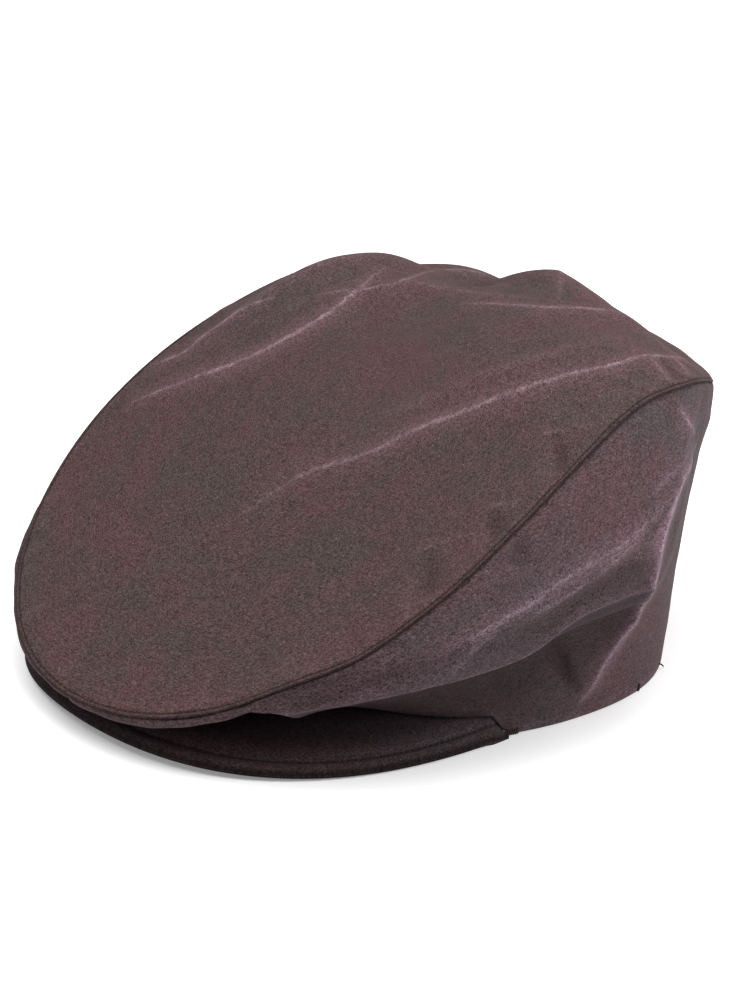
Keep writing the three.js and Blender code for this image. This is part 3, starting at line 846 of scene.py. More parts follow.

# Painted shade in the recess under the lip of the side panels, where the lip overhangs it. It ends at the
# lip's line above and at the rear crease's line behind. Lines are in millimetres round the cap and up it.
LIP_U = (40, 66, 83, 96, 112, 122, 131, 139, 155, 165, 176)
LIP_Z = (25, 28, 33, 34.5, 36.5, 40, 45.5, 49, 49.5, 48, 45.5)
LIP_EDGE_ENDS = (-1, 2)
REAR_Z = (6, 14, 20, 26, 33, 40, 49, 57, 64, 71, 77, 79)
REAR_U = (146, 152, 156, 160, 163, 165, 165, 167, 170, 175, 183, 200)
REAR_EDGE_ENDS = (-4, 3)
RECESS_SHADE = 0.88
RECESS_LOSS = 0.6
RECESS_ENDS = (16, 46)

# Fainter painted shade: the band above the lip, the wall behind the rear crease, the front, the join to
# the peak, and the peak under the crown's brow; and a dark line along the centre seams
LIP_SHADE = 0.52
LIP_SHADE_ENDS = (8, 15)
REAR_SHADE = 0.2
REAR_SHADE_START = (0, 7)
REAR_SHADE_ENDS = (40, 80)
FRONT_SHADE = 0.25
FRONT_SHADE_ENDS = (60, 110)
PEAK_JOIN_SHADE = 1.0
PEAK_JOIN_SHADE_ENDS = (1.5, 8)
PEAK_JOIN_END = (108, 121)
MIDDLE_SHADE = 0.8
MIDDLE_SHADE_REACH = 0.7
BROW_SHADE = 0.85
BROW_SHADE_ENDS = (4, 16)


def recess_shade(surface):
    """Painted shade on a side panel round its lip, behind its rear crease, in front and over the peak; dark
    centre seams.
    """
    u, z, from_rim = np.abs(surface.place[..., 0]), surface.outer[..., 2], surface.place[..., 2]
    below = np.interp(u, LIP_U, LIP_Z) - z
    rear = u - np.interp(z, REAR_Z, REAR_U)
    arch = ease(LIP_U[0], LIP_U[1], u) * (1 - ease(*REAR_EDGE_ENDS, rear))
    depth = 1 - RECESS_LOSS * ease(*RECESS_ENDS, below)
    painted_shade = RECESS_SHADE * arch * ease(*LIP_EDGE_ENDS, below) * depth
    lip = LIP_SHADE * arch * (1 - ease(*LIP_SHADE_ENDS, -below)) * (below < 0)
    behind = REAR_SHADE * ease(*REAR_SHADE_START, rear) * (1 - ease(*REAR_SHADE_ENDS, rear))
    front = FRONT_SHADE * (1 - ease(*FRONT_SHADE_ENDS, u))
    join = PEAK_JOIN_SHADE * (1 - ease(*PEAK_JOIN_SHADE_ENDS, from_rim))
    join = join * (1 - ease(*PEAK_JOIN_END, u))
    seam = MIDDLE_SHADE * bell(from_middle(u), MIDDLE_SHADE_REACH)
    return np.maximum.reduce([painted_shade, lip, behind, front, join, seam])


def wear_and_painted_light_masks(surface, ring, painted_shade, edge):
    """Masks on an outer face, from 0 to 1: crisp crests and worn edges, soft crests for painted sheen,
    painted shade and dark seams.
    """
    crest = curvature(surface.outer, surface.normal, CREST_REACH, ring)
    soft = curvature(surface.outer, surface.normal, SOFT_CREST_REACH, ring)
    off_seam = ease(*CREST_SEAM_ENDS, surface.from_seam)
    kept = CREST_SEAM_SHARE + (1 - CREST_SEAM_SHARE) * off_seam
    return {
        "crest": np.maximum(np.clip(crest / CREST_BEND, 0, 1) * kept, edge),
        "soft_crest": np.clip(soft / SOFT_CREST_BEND, 0, 1) * off_seam,
        "hollow": np.maximum(painted_shade, bell(surface.from_seam, SEAM_SHADE_REACH)),
    }


def closed_mesh(name, outer, inner, ring=False, pole=False):
    """A closed mesh between an outer and an inner grid that have the same columns."""
    columns = outer.shape[1]
    points, index = [], []
    count = 0
    for grid in (outer, inner):
        rows = []
        for r, row in enumerate(grid):
            if pole and r == 0:
                points.append(row[:1])
                rows.append(np.full(columns, count))
                count += 1
            else:
                points.append(row)
                rows.append(np.arange(count, count + columns))
                count += columns
        index.append(np.stack(rows))
    steps = columns if ring else columns - 1
    here = np.arange(steps)
    there = (here + 1) % columns
    faces = []

    def band(a, b):
        quads = np.stack([a[here], b[here], b[there], a[there]], -1)
        faces.extend(quads.tolist())

    outside, inside = index
    for r in range(len(outside) - 1):
        band(outside[r], outside[r + 1])
    for r in range(len(inside) - 1):
        band(inside[r + 1], inside[r])
    band(outside[-1], inside[-1])
    if not pole:
        band(inside[0], outside[0])
    if not ring:
        ratio = (len(outside) - 1) // (len(inside) - 1)
        for c, turned in ((0, False), (columns - 1, True)):
            for r in range(len(inside) - 1):
                edge = outside[r * ratio:(r + 1) * ratio + 1, c][::-1].tolist()
                face = [inside[r][c], inside[r + 1][c], *edge]
                faces.append(face[::-1] if turned else face)
    faces = [list(dict.fromkeys(face)) for face in faces]
    mesh = bpy.data.meshes.new(name)
    co = np.concatenate(points) + [0, CENTRE_SHIFT, 0]
    mesh.from_pydata((co * MM).tolist(), [], faces)
    mesh.update()
    mesh.shade_smooth()
    return mesh, index


def set_values(mesh, name, index, outer_values, kind="FLOAT"):
    """Stores a value for each point of the outer grid as an attribute; the inner face has none."""
    width = 1 if kind == "FLOAT" else 3
    values = np.zeros((len(mesh.vertices), width), np.float32)
    values[index[0].ravel()] = outer_values.reshape(-1, width)
    attribute = mesh.attributes.new(name, kind, "POINT")
    attribute.data.foreach_set("value" if kind == "FLOAT" else "vector", values.ravel())


def set_places(mesh, index, surface):
    """Stores where each point lies in the cloth, in millimetres, on both faces."""
    values = np.zeros((len(mesh.vertices), 3), np.float32)
    values[index[0].ravel()] = surface.place.reshape(-1, 3)
    inner_rows = np.linspace(0, len(surface.place) - 1, len(index[1])).round().astype(int)
    values[index[1].ravel()] = surface.place[inner_rows].reshape(-1, 3)
    attribute = mesh.attributes.new("cloth_place", "FLOAT_VECTOR", "POINT")
    attribute.data.foreach_set("vector", values.ravel())


def add_piece(name, mesh, material, nodes=()):
    """Puts a mesh in the scene as a piece of the cap."""
    piece = bpy.data.objects.new(name, mesh)
    bpy.context.scene.collection.objects.link(piece)
    mesh.materials.append(material)
    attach(piece, BODY)
    if nodes:
        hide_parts(*nodes)
    return piece


# A row of stitches beside an edge: its distance from the edge, and the columns it leaves out at
# each end
StitchRow = namedtuple("StitchRow", "inset ends")
CROWN_ROW = StitchRow(STITCH_INSET, 0)
PEAK_ROW = StitchRow(PEAK_STITCH_INSET, 6)


def stitch_line(surface, row, ring):
    """The line of a row of stitches, the directions square to it, and the stitches up to each column."""
    line, normal = line_at(surface, row.inset)
    at = length_along(line)
    if ring:
        line, normal = np.concatenate([line, line[:1]]), np.concatenate([normal, normal[:1]])
        first, last = 0, length_along(line)[-1]
    else:
        inside = slice(row.ends, len(line) - row.ends)
        line, normal = line[inside], normal[inside]
        first, last = at[inside][0], at[inside][-1]
    count = (last - first) // bpy.context.scene.cap_stitches.pitch
    return line, normal, (at - first) / (last - first) * count


def stitch_places(surface, row, ring):
    """How far each point of an outer face lies along a row, in stitches, and across it."""
    places = np.full(surface.outer.shape, FAR)
    if row:
        places[..., 0] = stitch_line(surface, row, ring)[2]
        places[..., 1] = surface.from_seam - row.inset
    return places


SHARP_ANGLE = math.radians(50)


def sewn_piece(node, surface, material, row=None, ring=False, pole=False, painted_shade=0.0, edge=0.0):
    """A cloth piece with its masks of wear, painted light and painted shade, in the place of a solid."""
    name = node + "_cloth"
    mesh, index = closed_mesh(name, surface.outer, surface.inner, ring, pole)
    mesh.set_sharp_from_angle(angle=SHARP_ANGLE)
    set_places(mesh, index, surface)
    set_values(mesh, "crease_place", index, surface.crests, "FLOAT_VECTOR")
    set_values(mesh, "stitch_place", index, stitch_places(surface, row, ring), "FLOAT_VECTOR")
    for mask, values in wear_and_painted_light_masks(surface, ring, painted_shade, edge).items():
        set_values(mesh, mask, index, values)
    return add_piece(name, mesh, material, [node])


# Stitches: short rounded lengths of thread whose ends dip into the cloth
STITCH_RINGS = table(("along", "girth", "rise"), (
    (-1, 0.3, -1.2),
    (-0.85, 0.75, -0.5),
    (-0.45, 1, 0.35),
    (0, 1, 0.6),
    (0.45, 1, 0.35),
    (0.85, 0.75, -0.5),
    (1, 0.3, -1.2),
))
STITCH_SIDES = 6
STITCH_COUNT_SLACK = 0.01
STITCH_AIM_STEP = 0.3
ThreadSizes = namedtuple("ThreadSizes", "pitch length radius")


def stitch_mesh(name, line, normal, sizes):
    """A row of stitches along a line of points."""
    radius = sizes.radius
    at = length_along(line)
    count = int(at[-1] / sizes.pitch + STITCH_COUNT_SLACK)
    length = sizes.length or at[-1] / count + 2 * radius
    middles = (np.arange(count) + 0.5) * at[-1] / count
    read = lambda values, s: np.stack([np.interp(s, at, values[:, k]) for k in range(3)], -1)
    centre = read(line, middles)
    forward = unit(read(line, middles + STITCH_AIM_STEP) - read(line, middles - STITCH_AIM_STEP))
    up = unit(read(normal, middles))
    across = unit(np.cross(up, forward))
    turns = 2 * np.pi * np.arange(STITCH_SIDES) / STITCH_SIDES
    rings = STITCH_RINGS
    spots = centre[:, None] + forward[:, None] * (rings["along"] * length / 2)[None, :, None]
    spots = spots + up[:, None] * (rings["rise"] * radius)[None, :, None]
    girth = (rings["girth"] * radius)[None, :, None, None]
    cosine, sine = np.cos(turns)[:, None], np.sin(turns)[:, None]
    ring = across[:, None, None] * cosine + up[:, None, None] * sine
    points = spots[:, :, None] + ring * girth
    ring_count = len(rings["along"])
    each = ring_count * STITCH_SIDES
    faces = []
    for r in range(ring_count - 1):
        for k in range(STITCH_SIDES):
            a, b = r * STITCH_SIDES + k, r * STITCH_SIDES + (k + 1) % STITCH_SIDES
            faces.append([a, b, b + STITCH_SIDES, a + STITCH_SIDES])
    faces.append(list(range(STITCH_SIDES))[::-1])
    faces.append(list(range(each - STITCH_SIDES, each)))
    whole = [[i + n * each for i in face] for n in range(count) for face in faces]
    mesh = bpy.data.meshes.new(name)
    co = (points.reshape(-1, 3) + [0, CENTRE_SHIFT, 0]) * MM
    mesh.from_pydata(co.tolist(), [], whole)
    mesh.update()
    mesh.shade_smooth()
    return mesh


def line_at(surface, distance):
    """The line on a face at a distance from its edge, and the directions square to it."""
    outer, normal, far = surface.outer, surface.normal, surface.from_seam
    columns = np.arange(outer.shape[1])
    order = far[::-1]
    row = np.array([np.searchsorted(order[:, c], distance) for c in columns])
    low = far.shape[0] - 1 - row
    t = (far[low, columns] - distance) / (far[low, columns] - far[low + 1, columns])
    mix = lambda grid: grid[low, columns] * (1 - t)[:, None] + grid[low + 1, columns] * t[:, None]
    return mix(outer), unit(mix(normal))


# Node groups shared by the cloths


def new_group(name, inputs, outputs):
    """An empty shader node group with named inputs, as (name, kind, value), and outputs."""
    group = bpy.data.node_groups.new(name, "ShaderNodeTree")
    for socket, kind, value in inputs:
        made = group.interface.new_socket(socket, in_out="INPUT", socket_type=kind)
        if value is not None:
            made.default_value = value
    for socket, kind in outputs:
        group.interface.new_socket(socket, in_out="OUTPUT", socket_type=kind)
    return group, group.nodes.new("NodeGroupInput"), group.nodes.new("NodeGroupOutput")


def math_node(tree, operation, a, b=None, clamp=False):
    """A math node whose inputs are sockets or numbers. Gives its output socket."""
    node = tree.nodes.new("ShaderNodeMath")
    node.operation = operation
    node.use_clamp = clamp
    for socket, value in zip(node.inputs, (a, b)):
        if isinstance(value, bpy.types.NodeSocket):
            tree.links.new(value, socket)
        elif value is not None:
            socket.default_value = value
    return node.outputs[0]


def times(tree, a, b):
    """The product of two sockets or numbers."""
    return math_node(tree, "MULTIPLY", a, b)


Noise = namedtuple("Noise", "scale detail roughness")


def noise_node(tree, vector, scale, detail=2.0, roughness=0.5):
    """A noise texture over a vector socket. Gives its value socket."""
    node = tree.nodes.new("ShaderNodeTexNoise")
    node.inputs["Scale"].default_value = scale
    node.inputs["Detail"].default_value = detail
    node.inputs["Roughness"].default_value = roughness
    tree.links.new(vector, node.inputs["Vector"])
    return node.outputs["Fac"]


def range_node(tree, value, from_low, from_high, to_low=0.0, to_high=1.0):
    """A value mapped from one range to another, kept inside it."""
    node = tree.nodes.new("ShaderNodeMapRange")
    tree.links.new(value, node.inputs["Value"])
    numbers = (from_low, from_high, to_low, to_high)
    for socket, number in zip(("From Min", "From Max", "To Min", "To Max"), numbers):
        node.inputs[socket].default_value = number
    return node.outputs["Result"]


def grey_node(tree, value):
    """A grey colour from a value socket. Gives its colour socket."""
    combine = tree.nodes.new("ShaderNodeCombineColor")
    for k in range(3):
        tree.links.new(value, combine.inputs[k])
    return combine.outputs[0]


def mix_node(tree, factor, a, b, blend="MIX"):
    """A colour mix whose inputs are sockets, numbers or colours. Gives its colour socket."""
    node = tree.nodes.new("ShaderNodeMix")
    node.data_type = "RGBA"
    node.blend_type = blend
    factor_in, a_in, b_in = node.inputs[0], node.inputs[6], node.inputs[7]
    for socket, value in ((factor_in, factor), (a_in, a), (b_in, b)):
        if isinstance(value, bpy.types.NodeSocket):
            tree.links.new(value, socket)
        elif socket is factor_in:
            socket.default_value = value
        else:
            socket.default_value = (*value, 1)
    return node.outputs[2]


YARN_STRETCHES = ((1.9, 0.35, 0), (0.35, 1.9, 0))
YARN_NOISE = Noise(1.0, 3.0, 0.6)


def weave_group():
    """Plain weave: height of the threads and an uneven yarn tone, from a place in millimetres."""
    group, start, end = new_group(
        "plain_weave",
        (("Place", "NodeSocketVector", None), ("Thread Pitch", "NodeSocketFloat", 0.5)),
        (("Height", "NodeSocketFloat"), ("Yarn Tone", "NodeSocketFloat")),
    )
    places = split_node(group, start.outputs["Place"])
    counts = [math_node(group, "DIVIDE", places[k], start.outputs["Thread Pitch"]) for k in (0, 1)]
    turns = [times(group, c, math.pi) for c in counts]
    waves = [math_node(group, "ABSOLUTE", math_node(group, "SINE", t)) for t in turns]
    cells = math_node(group, "ADD", *(math_node(group, "FLOOR", c) for c in counts))
    over = math_node(group, "PINGPONG", cells, 1.0)
    warp = times(group, waves[0], over)
    weft = times(group, waves[1], math_node(group, "SUBTRACT", 1.0, over))
    group.links.new(math_node(group, "ADD", warp, weft), end.inputs["Height"])
    stretched = []
    for scale in YARN_STRETCHES:
        mapping = group.nodes.new("ShaderNodeMapping")
        mapping.inputs["Scale"].default_value = scale
        group.links.new(start.outputs["Place"], mapping.inputs["Vector"])
        stretched.append(noise_node(group, mapping.outputs[0], *YARN_NOISE))
    tone = times(group, math_node(group, "ADD", *stretched), 0.5)
    group.links.new(tone, end.inputs["Yarn Tone"])
    return group


def cell_node(tree, vector, size):
    """Random colour of small cells of a size in millimetres. Gives its separate colour sockets."""
    cells = tree.nodes.new("ShaderNodeTexVoronoi")
    cells.inputs["Scale"].default_value = 1 / size
    tree.links.new(vector, cells.inputs["Vector"])
    split = tree.nodes.new("ShaderNodeSeparateColor")
    tree.links.new(cells.outputs["Color"], split.inputs[0])
    return split.outputs


FINE_SPECK = 0.42
COARSE_SPECK = 0.95
FINE_SHARE = 0.85
FIBRE_LEVELS = (0.975, 0.985)


def flecks_group():
    """Fine light and dark grain and rare pale flecks, from a place in millimetres."""
    group, start, end = new_group(
        "cloth_flecks",
        (("Place", "NodeSocketVector", None),),
        (("Grain", "NodeSocketFloat"), ("Hue", "NodeSocketFloat"), ("Fibres", "NodeSocketFloat")),
    )
    place = start.outputs["Place"]
    fine = cell_node(group, place, FINE_SPECK)
    coarse = cell_node(group, place, COARSE_SPECK)
    fine_part, coarse_part = times(group, fine[0], FINE_SHARE), times(group, coarse[0], 1 - FINE_SHARE)
    group.links.new(math_node(group, "ADD", fine_part, coarse_part), end.inputs["Grain"])
    group.links.new(coarse[1], end.inputs["Hue"])
    group.links.new(range_node(group, fine[1], *FIBRE_LEVELS), end.inputs["Fibres"])
    return group


def attribute_node(tree, name, output="Fac"):
    """A value stored in the mesh."""
    node = tree.nodes.new("ShaderNodeAttribute")
    node.attribute_name = name
    return node.outputs[output]


def split_node(tree, vector):
    """The three parts of a vector socket."""
    node = tree.nodes.new("ShaderNodeSeparateXYZ")
    tree.links.new(vector, node.inputs[0])
    return node.outputs


def bell_node(tree, distance, width):
    """Smooth bump of a width, 1 at distance 0."""
    share = math_node(tree, "DIVIDE", distance, width)
    square = times(tree, share, share)
    return math_node(tree, "EXPONENT", times(tree, square, -1.0))


# Wear and painted highlight along the creases, painted sheen beside them and painted shade in dents, in
# millimetres. A range goes from the noise's low and high to two strengths.
WAVER = Noise(0.35, 3.0, 0.6)
WAVER_RANGE = (0.2, 0.8, -0.8, 0.8)
BREAKS = Noise(0.16, 3.0, 0.6)
BREAKS_RANGE = (0.35, 0.62, 0.3, 1.0)
RUB_AND_SHEEN_PATCHES = Noise(0.03, 2.0, 0.5)
RUB_AND_SHEEN_PATCHES_RANGE = (0.3, 0.7, 0.1, 0.35)
CREST_LINE_RANGE = (1.8, 3.2, 1.0, 0.0)
BENT_EDGE_SHARE = 0.35
GLOW_WIDTH = 5.0
DENT_WIDTH = 3.0


def fold_wear_and_light_group():
    """Crest lines of wear and painted highlight, rubbed zones with painted sheen, painted shade and dark
    seams, from masks.
    """
    group, start, end = new_group(
        "fold_wear_and_painted_light",
        (("Place", "NodeSocketVector", None), ("Line Width", "NodeSocketFloat", 0.7)),
        (("Crest", "NodeSocketFloat"), ("Rubbed And Sheen", "NodeSocketFloat"), ("Hollow", "NodeSocketFloat")),
    )
    place = start.outputs["Place"]
    across, away, paleness = split_node(group, attribute_node(group, "crease_place", "Vector"))
    waver = range_node(group, noise_node(group, place, *WAVER), *WAVER_RANGE)
    broken = range_node(group, noise_node(group, place, *BREAKS), *BREAKS_RANGE)
    patches = range_node(group, noise_node(group, place, *RUB_AND_SHEEN_PATCHES), *RUB_AND_SHEEN_PATCHES_RANGE)
    pale = math_node(group, "MAXIMUM", paleness, 0.0)
    dented = math_node(group, "MAXIMUM", times(group, paleness, -1.0), 0.0)

    thin = bell_node(group, math_node(group, "ADD", across, waver), start.outputs["Line Width"])
    thin = times(group, thin, range_node(group, away, *CREST_LINE_RANGE))
    edge = times(group, attribute_node(group, "crest"), BENT_EDGE_SHARE)
    line = math_node(group, "ADD", times(group, thin, pale), edge)
    group.links.new(times(group, line, broken), end.inputs["Crest"])
    glow = times(group, bell_node(group, away, GLOW_WIDTH), pale)
    soft = times(group, attribute_node(group, "soft_crest"), patches)
    group.links.new(math_node(group, "MAXIMUM", glow, soft), end.inputs["Rubbed And Sheen"])
    dent = times(group, dented, bell_node(group, away, DENT_WIDTH))
    hollow = math_node(group, "ADD", attribute_node(group, "hollow"), dent, clamp=True)
    group.links.new(hollow, end.inputs["Hollow"])
    return group


HOLE_LENGTH = 0.32
HOLE_WIDTH = 0.34
ROW_WIDTH = 0.5


def holes_group():
    """Dark needle holes between the stitches and the faint line that the stitches press in."""
    group, start, end = new_group(
        "needle_holes",
        (("Place", "NodeSocketVector", None), ("Stitch Pitch", "NodeSocketFloat", 2.2)),
        (("Hole", "NodeSocketFloat"), ("Row", "NodeSocketFloat")),
    )
    along, across, _ = split_node(group, start.outputs["Place"])
    gap = times(group, math_node(group, "PINGPONG", along, 0.5), start.outputs["Stitch Pitch"])
    hole = times(group, bell_node(group, gap, HOLE_LENGTH), bell_node(group, across, HOLE_WIDTH))
    group.links.new(hole, end.inputs["Hole"])
    group.links.new(bell_node(group, across, ROW_WIDTH), end.inputs["Row"])
    return group


def place_group(tree, group, place):
    """Puts a node group in a material and joins its Place input."""
    node = tree.nodes.new("ShaderNodeGroup")
    node.node_tree = group
    tree.links.new(place, node.inputs["Place"])
    return node


SHARED_GROUPS = {
    "plain_weave": weave_group,
    "cloth_flecks": flecks_group,
    "fold_wear_and_painted_light": fold_wear_and_light_group,
    "needle_holes": holes_group,
}


def shared_group(name):
    """A node group that is made once."""
    return bpy.data.node_groups.get(name) or SHARED_GROUPS[name]()


def scaled(colour, factor):
    """A colour made lighter or darker."""
    return tuple(min(c * factor, 1) for c in colour)


def mixed(colour, other):
    """The colour midway between two."""
    return tuple((a + b) / 2 for a, b in zip(colour, other))


def tinted(colour, tone):
    """A colour times another one."""
    return tuple(min(c * t, 1) for c, t in zip(colour, tone))


def new_material(name):
    """A new material with nodes. Gives the material, its node tree and its shader."""
    material = bpy.data.materials.new(name)
    material.use_nodes = True
    return material, material.node_tree, material.node_tree.nodes["Principled BSDF"]


# The cloth's patches, its layers of wear and of painted highlight, sheen and shade, its tones, its waxy
# sheen and height
BROAD_BLOTCHES = Noise(0.017, 3.0, 0.6)
SMALL_BLOTCHES = Noise(0.075, 2.0, 0.6)
SMALL_BLOTCH_SHARE = 0.6
SPECKLE_SHARE = 0.12
BLOTCH_LEVELS = (0.68, 1.04)
RUBBED_AND_SHEEN_SHARE = 0.42
CREST_SHARE = 0.7
CREST_TINT = (1.6, 2.0, 1.85)
FIBRE_SHARE = 0.5
FIBRE_PALENESS = 1.3
HOLLOW_SHARE = 0.95
HOLLOW_DARKNESS = 0.3
STITCH_ROW_SHARE = 0.45
HOLE_SHARE = 0.8
HOLE_DARKNESS = 0.4
YARN_RANGE = (0.3, 0.7, 0.85, 1.15)
ROUGHNESS_RANGE = (0.0, 1.0, 0.62, 0.78)
RUBBED_SMOOTHNESS = 0.06
CLOTH_SPECULAR = 0.03
SHEEN_WEIGHT = 0.035
SHEEN_ROUGHNESS = 0.45
SHEEN_TINT = (0.74, 0.60, 0.72, 1)
GRAIN_HEIGHT = 1.4
HOLE_DEPTH = 3.0
BUMP_STRENGTH = 0.35
BUMP_HEIGHT = 0.12


def waxed_cloth(name, cloth, tone, pitch):
    """Waxed cotton: patchy colour, speckled grain, worn crests with painted light and shade, a dull waxy
    sheen.
    """
    if name in bpy.data.materials:
        return bpy.data.materials[name]
    warm, cool, rubbed_and_sheen = (tinted(c, tone) for c in (cloth.warm, cloth.cool, cloth.rubbed_and_sheen))
    material, tree, shader = new_material(name)
    place = attribute_node(tree, "cloth_place", "Vector")
    weave = place_group(tree, shared_group("plain_weave"), place)
    weave.inputs["Thread Pitch"].default_value = cloth.pitch
    flecks = place_group(tree, shared_group("cloth_flecks"), place)
    wear_and_painted_light = place_group(tree, shared_group("fold_wear_and_painted_light"), place)
    sewn = attribute_node(tree, "stitch_place", "Vector")
    holes = place_group(tree, shared_group("needle_holes"), sewn)
    holes.inputs["Stitch Pitch"].default_value = pitch

    blotches = times(tree, noise_node(tree, place, *SMALL_BLOTCHES), SMALL_BLOTCH_SHARE)
    blotches = math_node(tree, "ADD", noise_node(tree, place, *BROAD_BLOTCHES), blotches)
    speckled = math_node(tree, "ADD", blotches, times(tree, flecks.outputs["Hue"], SPECKLE_SHARE))
    colour = mix_node(tree, range_node(tree, speckled, *BLOTCH_LEVELS), warm, cool)
    dark = scaled(mixed(warm, cool), HOLLOW_DARKNESS)
    # Layers painted over the colour: rubbed wax with painted sheen, crest lines of wear and painted
    # highlight, pale fibres, painted shade and dark seams, the stitch row and the needle holes
    for mask, share, paint in (
        (wear_and_painted_light.outputs["Rubbed And Sheen"], RUBBED_AND_SHEEN_SHARE, rubbed_and_sheen),
        (wear_and_painted_light.outputs["Crest"], CREST_SHARE, tinted(rubbed_and_sheen, CREST_TINT)),
        (flecks.outputs["Fibres"], FIBRE_SHARE, scaled(rubbed_and_sheen, FIBRE_PALENESS)),
        (wear_and_painted_light.outputs["Hollow"], HOLLOW_SHARE, dark),
        (holes.outputs["Row"], STITCH_ROW_SHARE, dark),
        (holes.outputs["Hole"], HOLE_SHARE, scaled(dark, HOLE_DARKNESS)),
    ):
        colour = mix_node(tree, times(tree, mask, share), colour, paint)
    grain = flecks.outputs["Grain"]
    speck = range_node(tree, grain, 0.0, 1.0, 1 - cloth.grain, 1 + cloth.grain)
    yarn = range_node(tree, weave.outputs["Yarn Tone"], *YARN_RANGE)
    colour = mix_node(tree, 1.0, colour, grey_node(tree, times(tree, speck, yarn)), "MULTIPLY")
    tree.links.new(colour, shader.inputs["Base Color"])

    rough = range_node(tree, grain, *ROUGHNESS_RANGE)
    smoother = times(tree, wear_and_painted_light.outputs["Rubbed And Sheen"], RUBBED_SMOOTHNESS)
    tree.links.new(math_node(tree, "SUBTRACT", rough, smoother), shader.inputs["Roughness"])
    shader.inputs["Specular IOR Level"].default_value = CLOTH_SPECULAR
    shader.inputs["Sheen Weight"].default_value = SHEEN_WEIGHT
    shader.inputs["Sheen Roughness"].default_value = SHEEN_ROUGHNESS
    shader.inputs["Sheen Tint"].default_value = SHEEN_TINT

    height = math_node(tree, "ADD", weave.outputs["Height"], times(tree, grain, GRAIN_HEIGHT))
    height = math_node(tree, "SUBTRACT", height, times(tree, holes.outputs["Hole"], HOLE_DEPTH))
    bump = tree.nodes.new("ShaderNodeBump")
    bump.inputs["Strength"].default_value = BUMP_STRENGTH
    bump.inputs["Distance"].default_value = BUMP_HEIGHT * MM
    tree.links.new(height, bump.inputs["Height"])
    tree.links.new(bump.outputs["Normal"], shader.inputs["Normal"])
    return material


THREAD_PLIES = Noise(900.0, 2.0, 0.5)
THREAD_TONES = (0.7, 1.25)
THREAD_ROUGHNESS = (0.5, 0.7)
THREAD_SPECULAR = 0.2


def thread(name, colour):
    """Sewing thread: twisted plies, satin."""
    if name in bpy.data.materials:
        return bpy.data.materials[name]
    material, tree, shader = new_material(name)
    place = tree.nodes.new("ShaderNodeTexCoord").outputs["Object"]
    tone = range_node(tree, noise_node(tree, place, *THREAD_PLIES), 0.3, 0.7, *THREAD_TONES)
    plies = mix_node(tree, 1.0, colour, grey_node(tree, tone), "MULTIPLY")
    tree.links.new(plies, shader.inputs["Base Color"])
    rough = range_node(tree, tone, *THREAD_TONES, *THREAD_ROUGHNESS)
    tree.links.new(rough, shader.inputs["Roughness"])
    shader.inputs["Specular IOR Level"].default_value = THREAD_SPECULAR
    return material


class ClothSettings(bpy.types.PropertyGroup):
    """Colours and weave of the cloth."""

    warm: FloatVectorProperty(
        name="Warm cloth", description="Linear colour of the cloth's browner patches",
        default=(0.079, 0.0425, 0.0425), subtype="COLOR", min=0, max=1,
    )
    cool: FloatVectorProperty(
        name="Cool cloth", description="Linear colour of the cloth's greyer patches",
        default=(0.060, 0.0440, 0.0425), subtype="COLOR", min=0, max=1,
    )
    # The rubbed colour also paints the sheen beside the creases and the highlight on their crests.
    rubbed_and_sheen: FloatVectorProperty(
        name="Rubbed cloth", description="Linear colour of crests where the wax is worn",
        default=(0.135, 0.075, 0.088), subtype="COLOR", min=0, max=1,
    )
    # Painted sheen: this bluish-mauve tint of the side panels and the peak stands in for their sheen at a
    # slant.
    side_sheen_tint: FloatVectorProperty(
        name="Side tone", description="Colour of the side panels' cloth beside the top's",
        default=(0.93, 0.985, 1.07), subtype="COLOR", min=0, soft_max=1.2,
    )
    # Painted shade: the peak's cloth and thread are darkened to stand in for the shade under the crown's
    # front.
    peak_shade_tone: FloatProperty(
        name="Peak tone", description="How dark the peak's cloth is beside the crown's",
        default=0.56, min=0.2, max=1.5,
    )
    pitch: FloatProperty(
        name="Thread pitch", description="Width of one thread in millimetres",
        default=0.5, min=0.2, max=3,
    )
    grain: FloatProperty(
        name="Grain", description="How strongly the specks differ in tone",
        default=0.66, min=0, max=1,
    )


class StitchSettings(bpy.types.PropertyGroup):
    """Size and colour of the stitches."""

    pitch: FloatProperty(
        name="Stitch pitch", description="Distance from stitch to stitch in millimetres",
        default=2.2, min=1, max=8,
    )
    length: FloatProperty(
        name="Stitch length", description="Length of one stitch in millimetres",
        default=1.7, min=0.5, max=8,
    )
    radius: FloatProperty(
        name="Thread radius", description="Radius of the thread in millimetres",
        default=0.15, min=0.05, max=1,
    )
    colour: FloatVectorProperty(
        name="Thread colour", description="Linear colour of the thread",
        default=(0.026, 0.013, 0.013), subtype="COLOR", min=0, max=1,
    )


class StageSettings(bpy.types.PropertyGroup):
    """Camera and light."""

    azimuth: FloatProperty(
        name="Azimuth", description="Camera's angle round the cap",
        default=math.radians(45), unit="ROTATION",
    )
    elevation: FloatProperty(
        name="Elevation", description="Camera's angle above the floor",
        default=math.radians(20.6), unit="ROTATION",
    )
    roll: FloatProperty(
        name="Roll", description="Camera's tilt about its own line of sight",
        default=math.radians(5.5), unit="ROTATION",
    )
    distance: FloatProperty(
        name="Distance", description="Distance from camera to aim",
        default=0.814, unit="LENGTH",
    )
    lens: FloatProperty(name="Lens", description="Focal length in millimetres", default=86.2)
    key: FloatProperty(
        name="Top light", description="Power of the soft light above",
        default=54.0, unit="POWER",
    )
    side: FloatProperty(
        name="Side light", description="Power of the side light beside the top light's",
        default=0.5,
    )
    front: FloatProperty(
        name="Front light", description="Power of the low front light beside the top light's",
        default=0.045,
    )
    world: FloatProperty(
        name="Surround", description="Strength of the even light all round",
        default=0.17,
    )


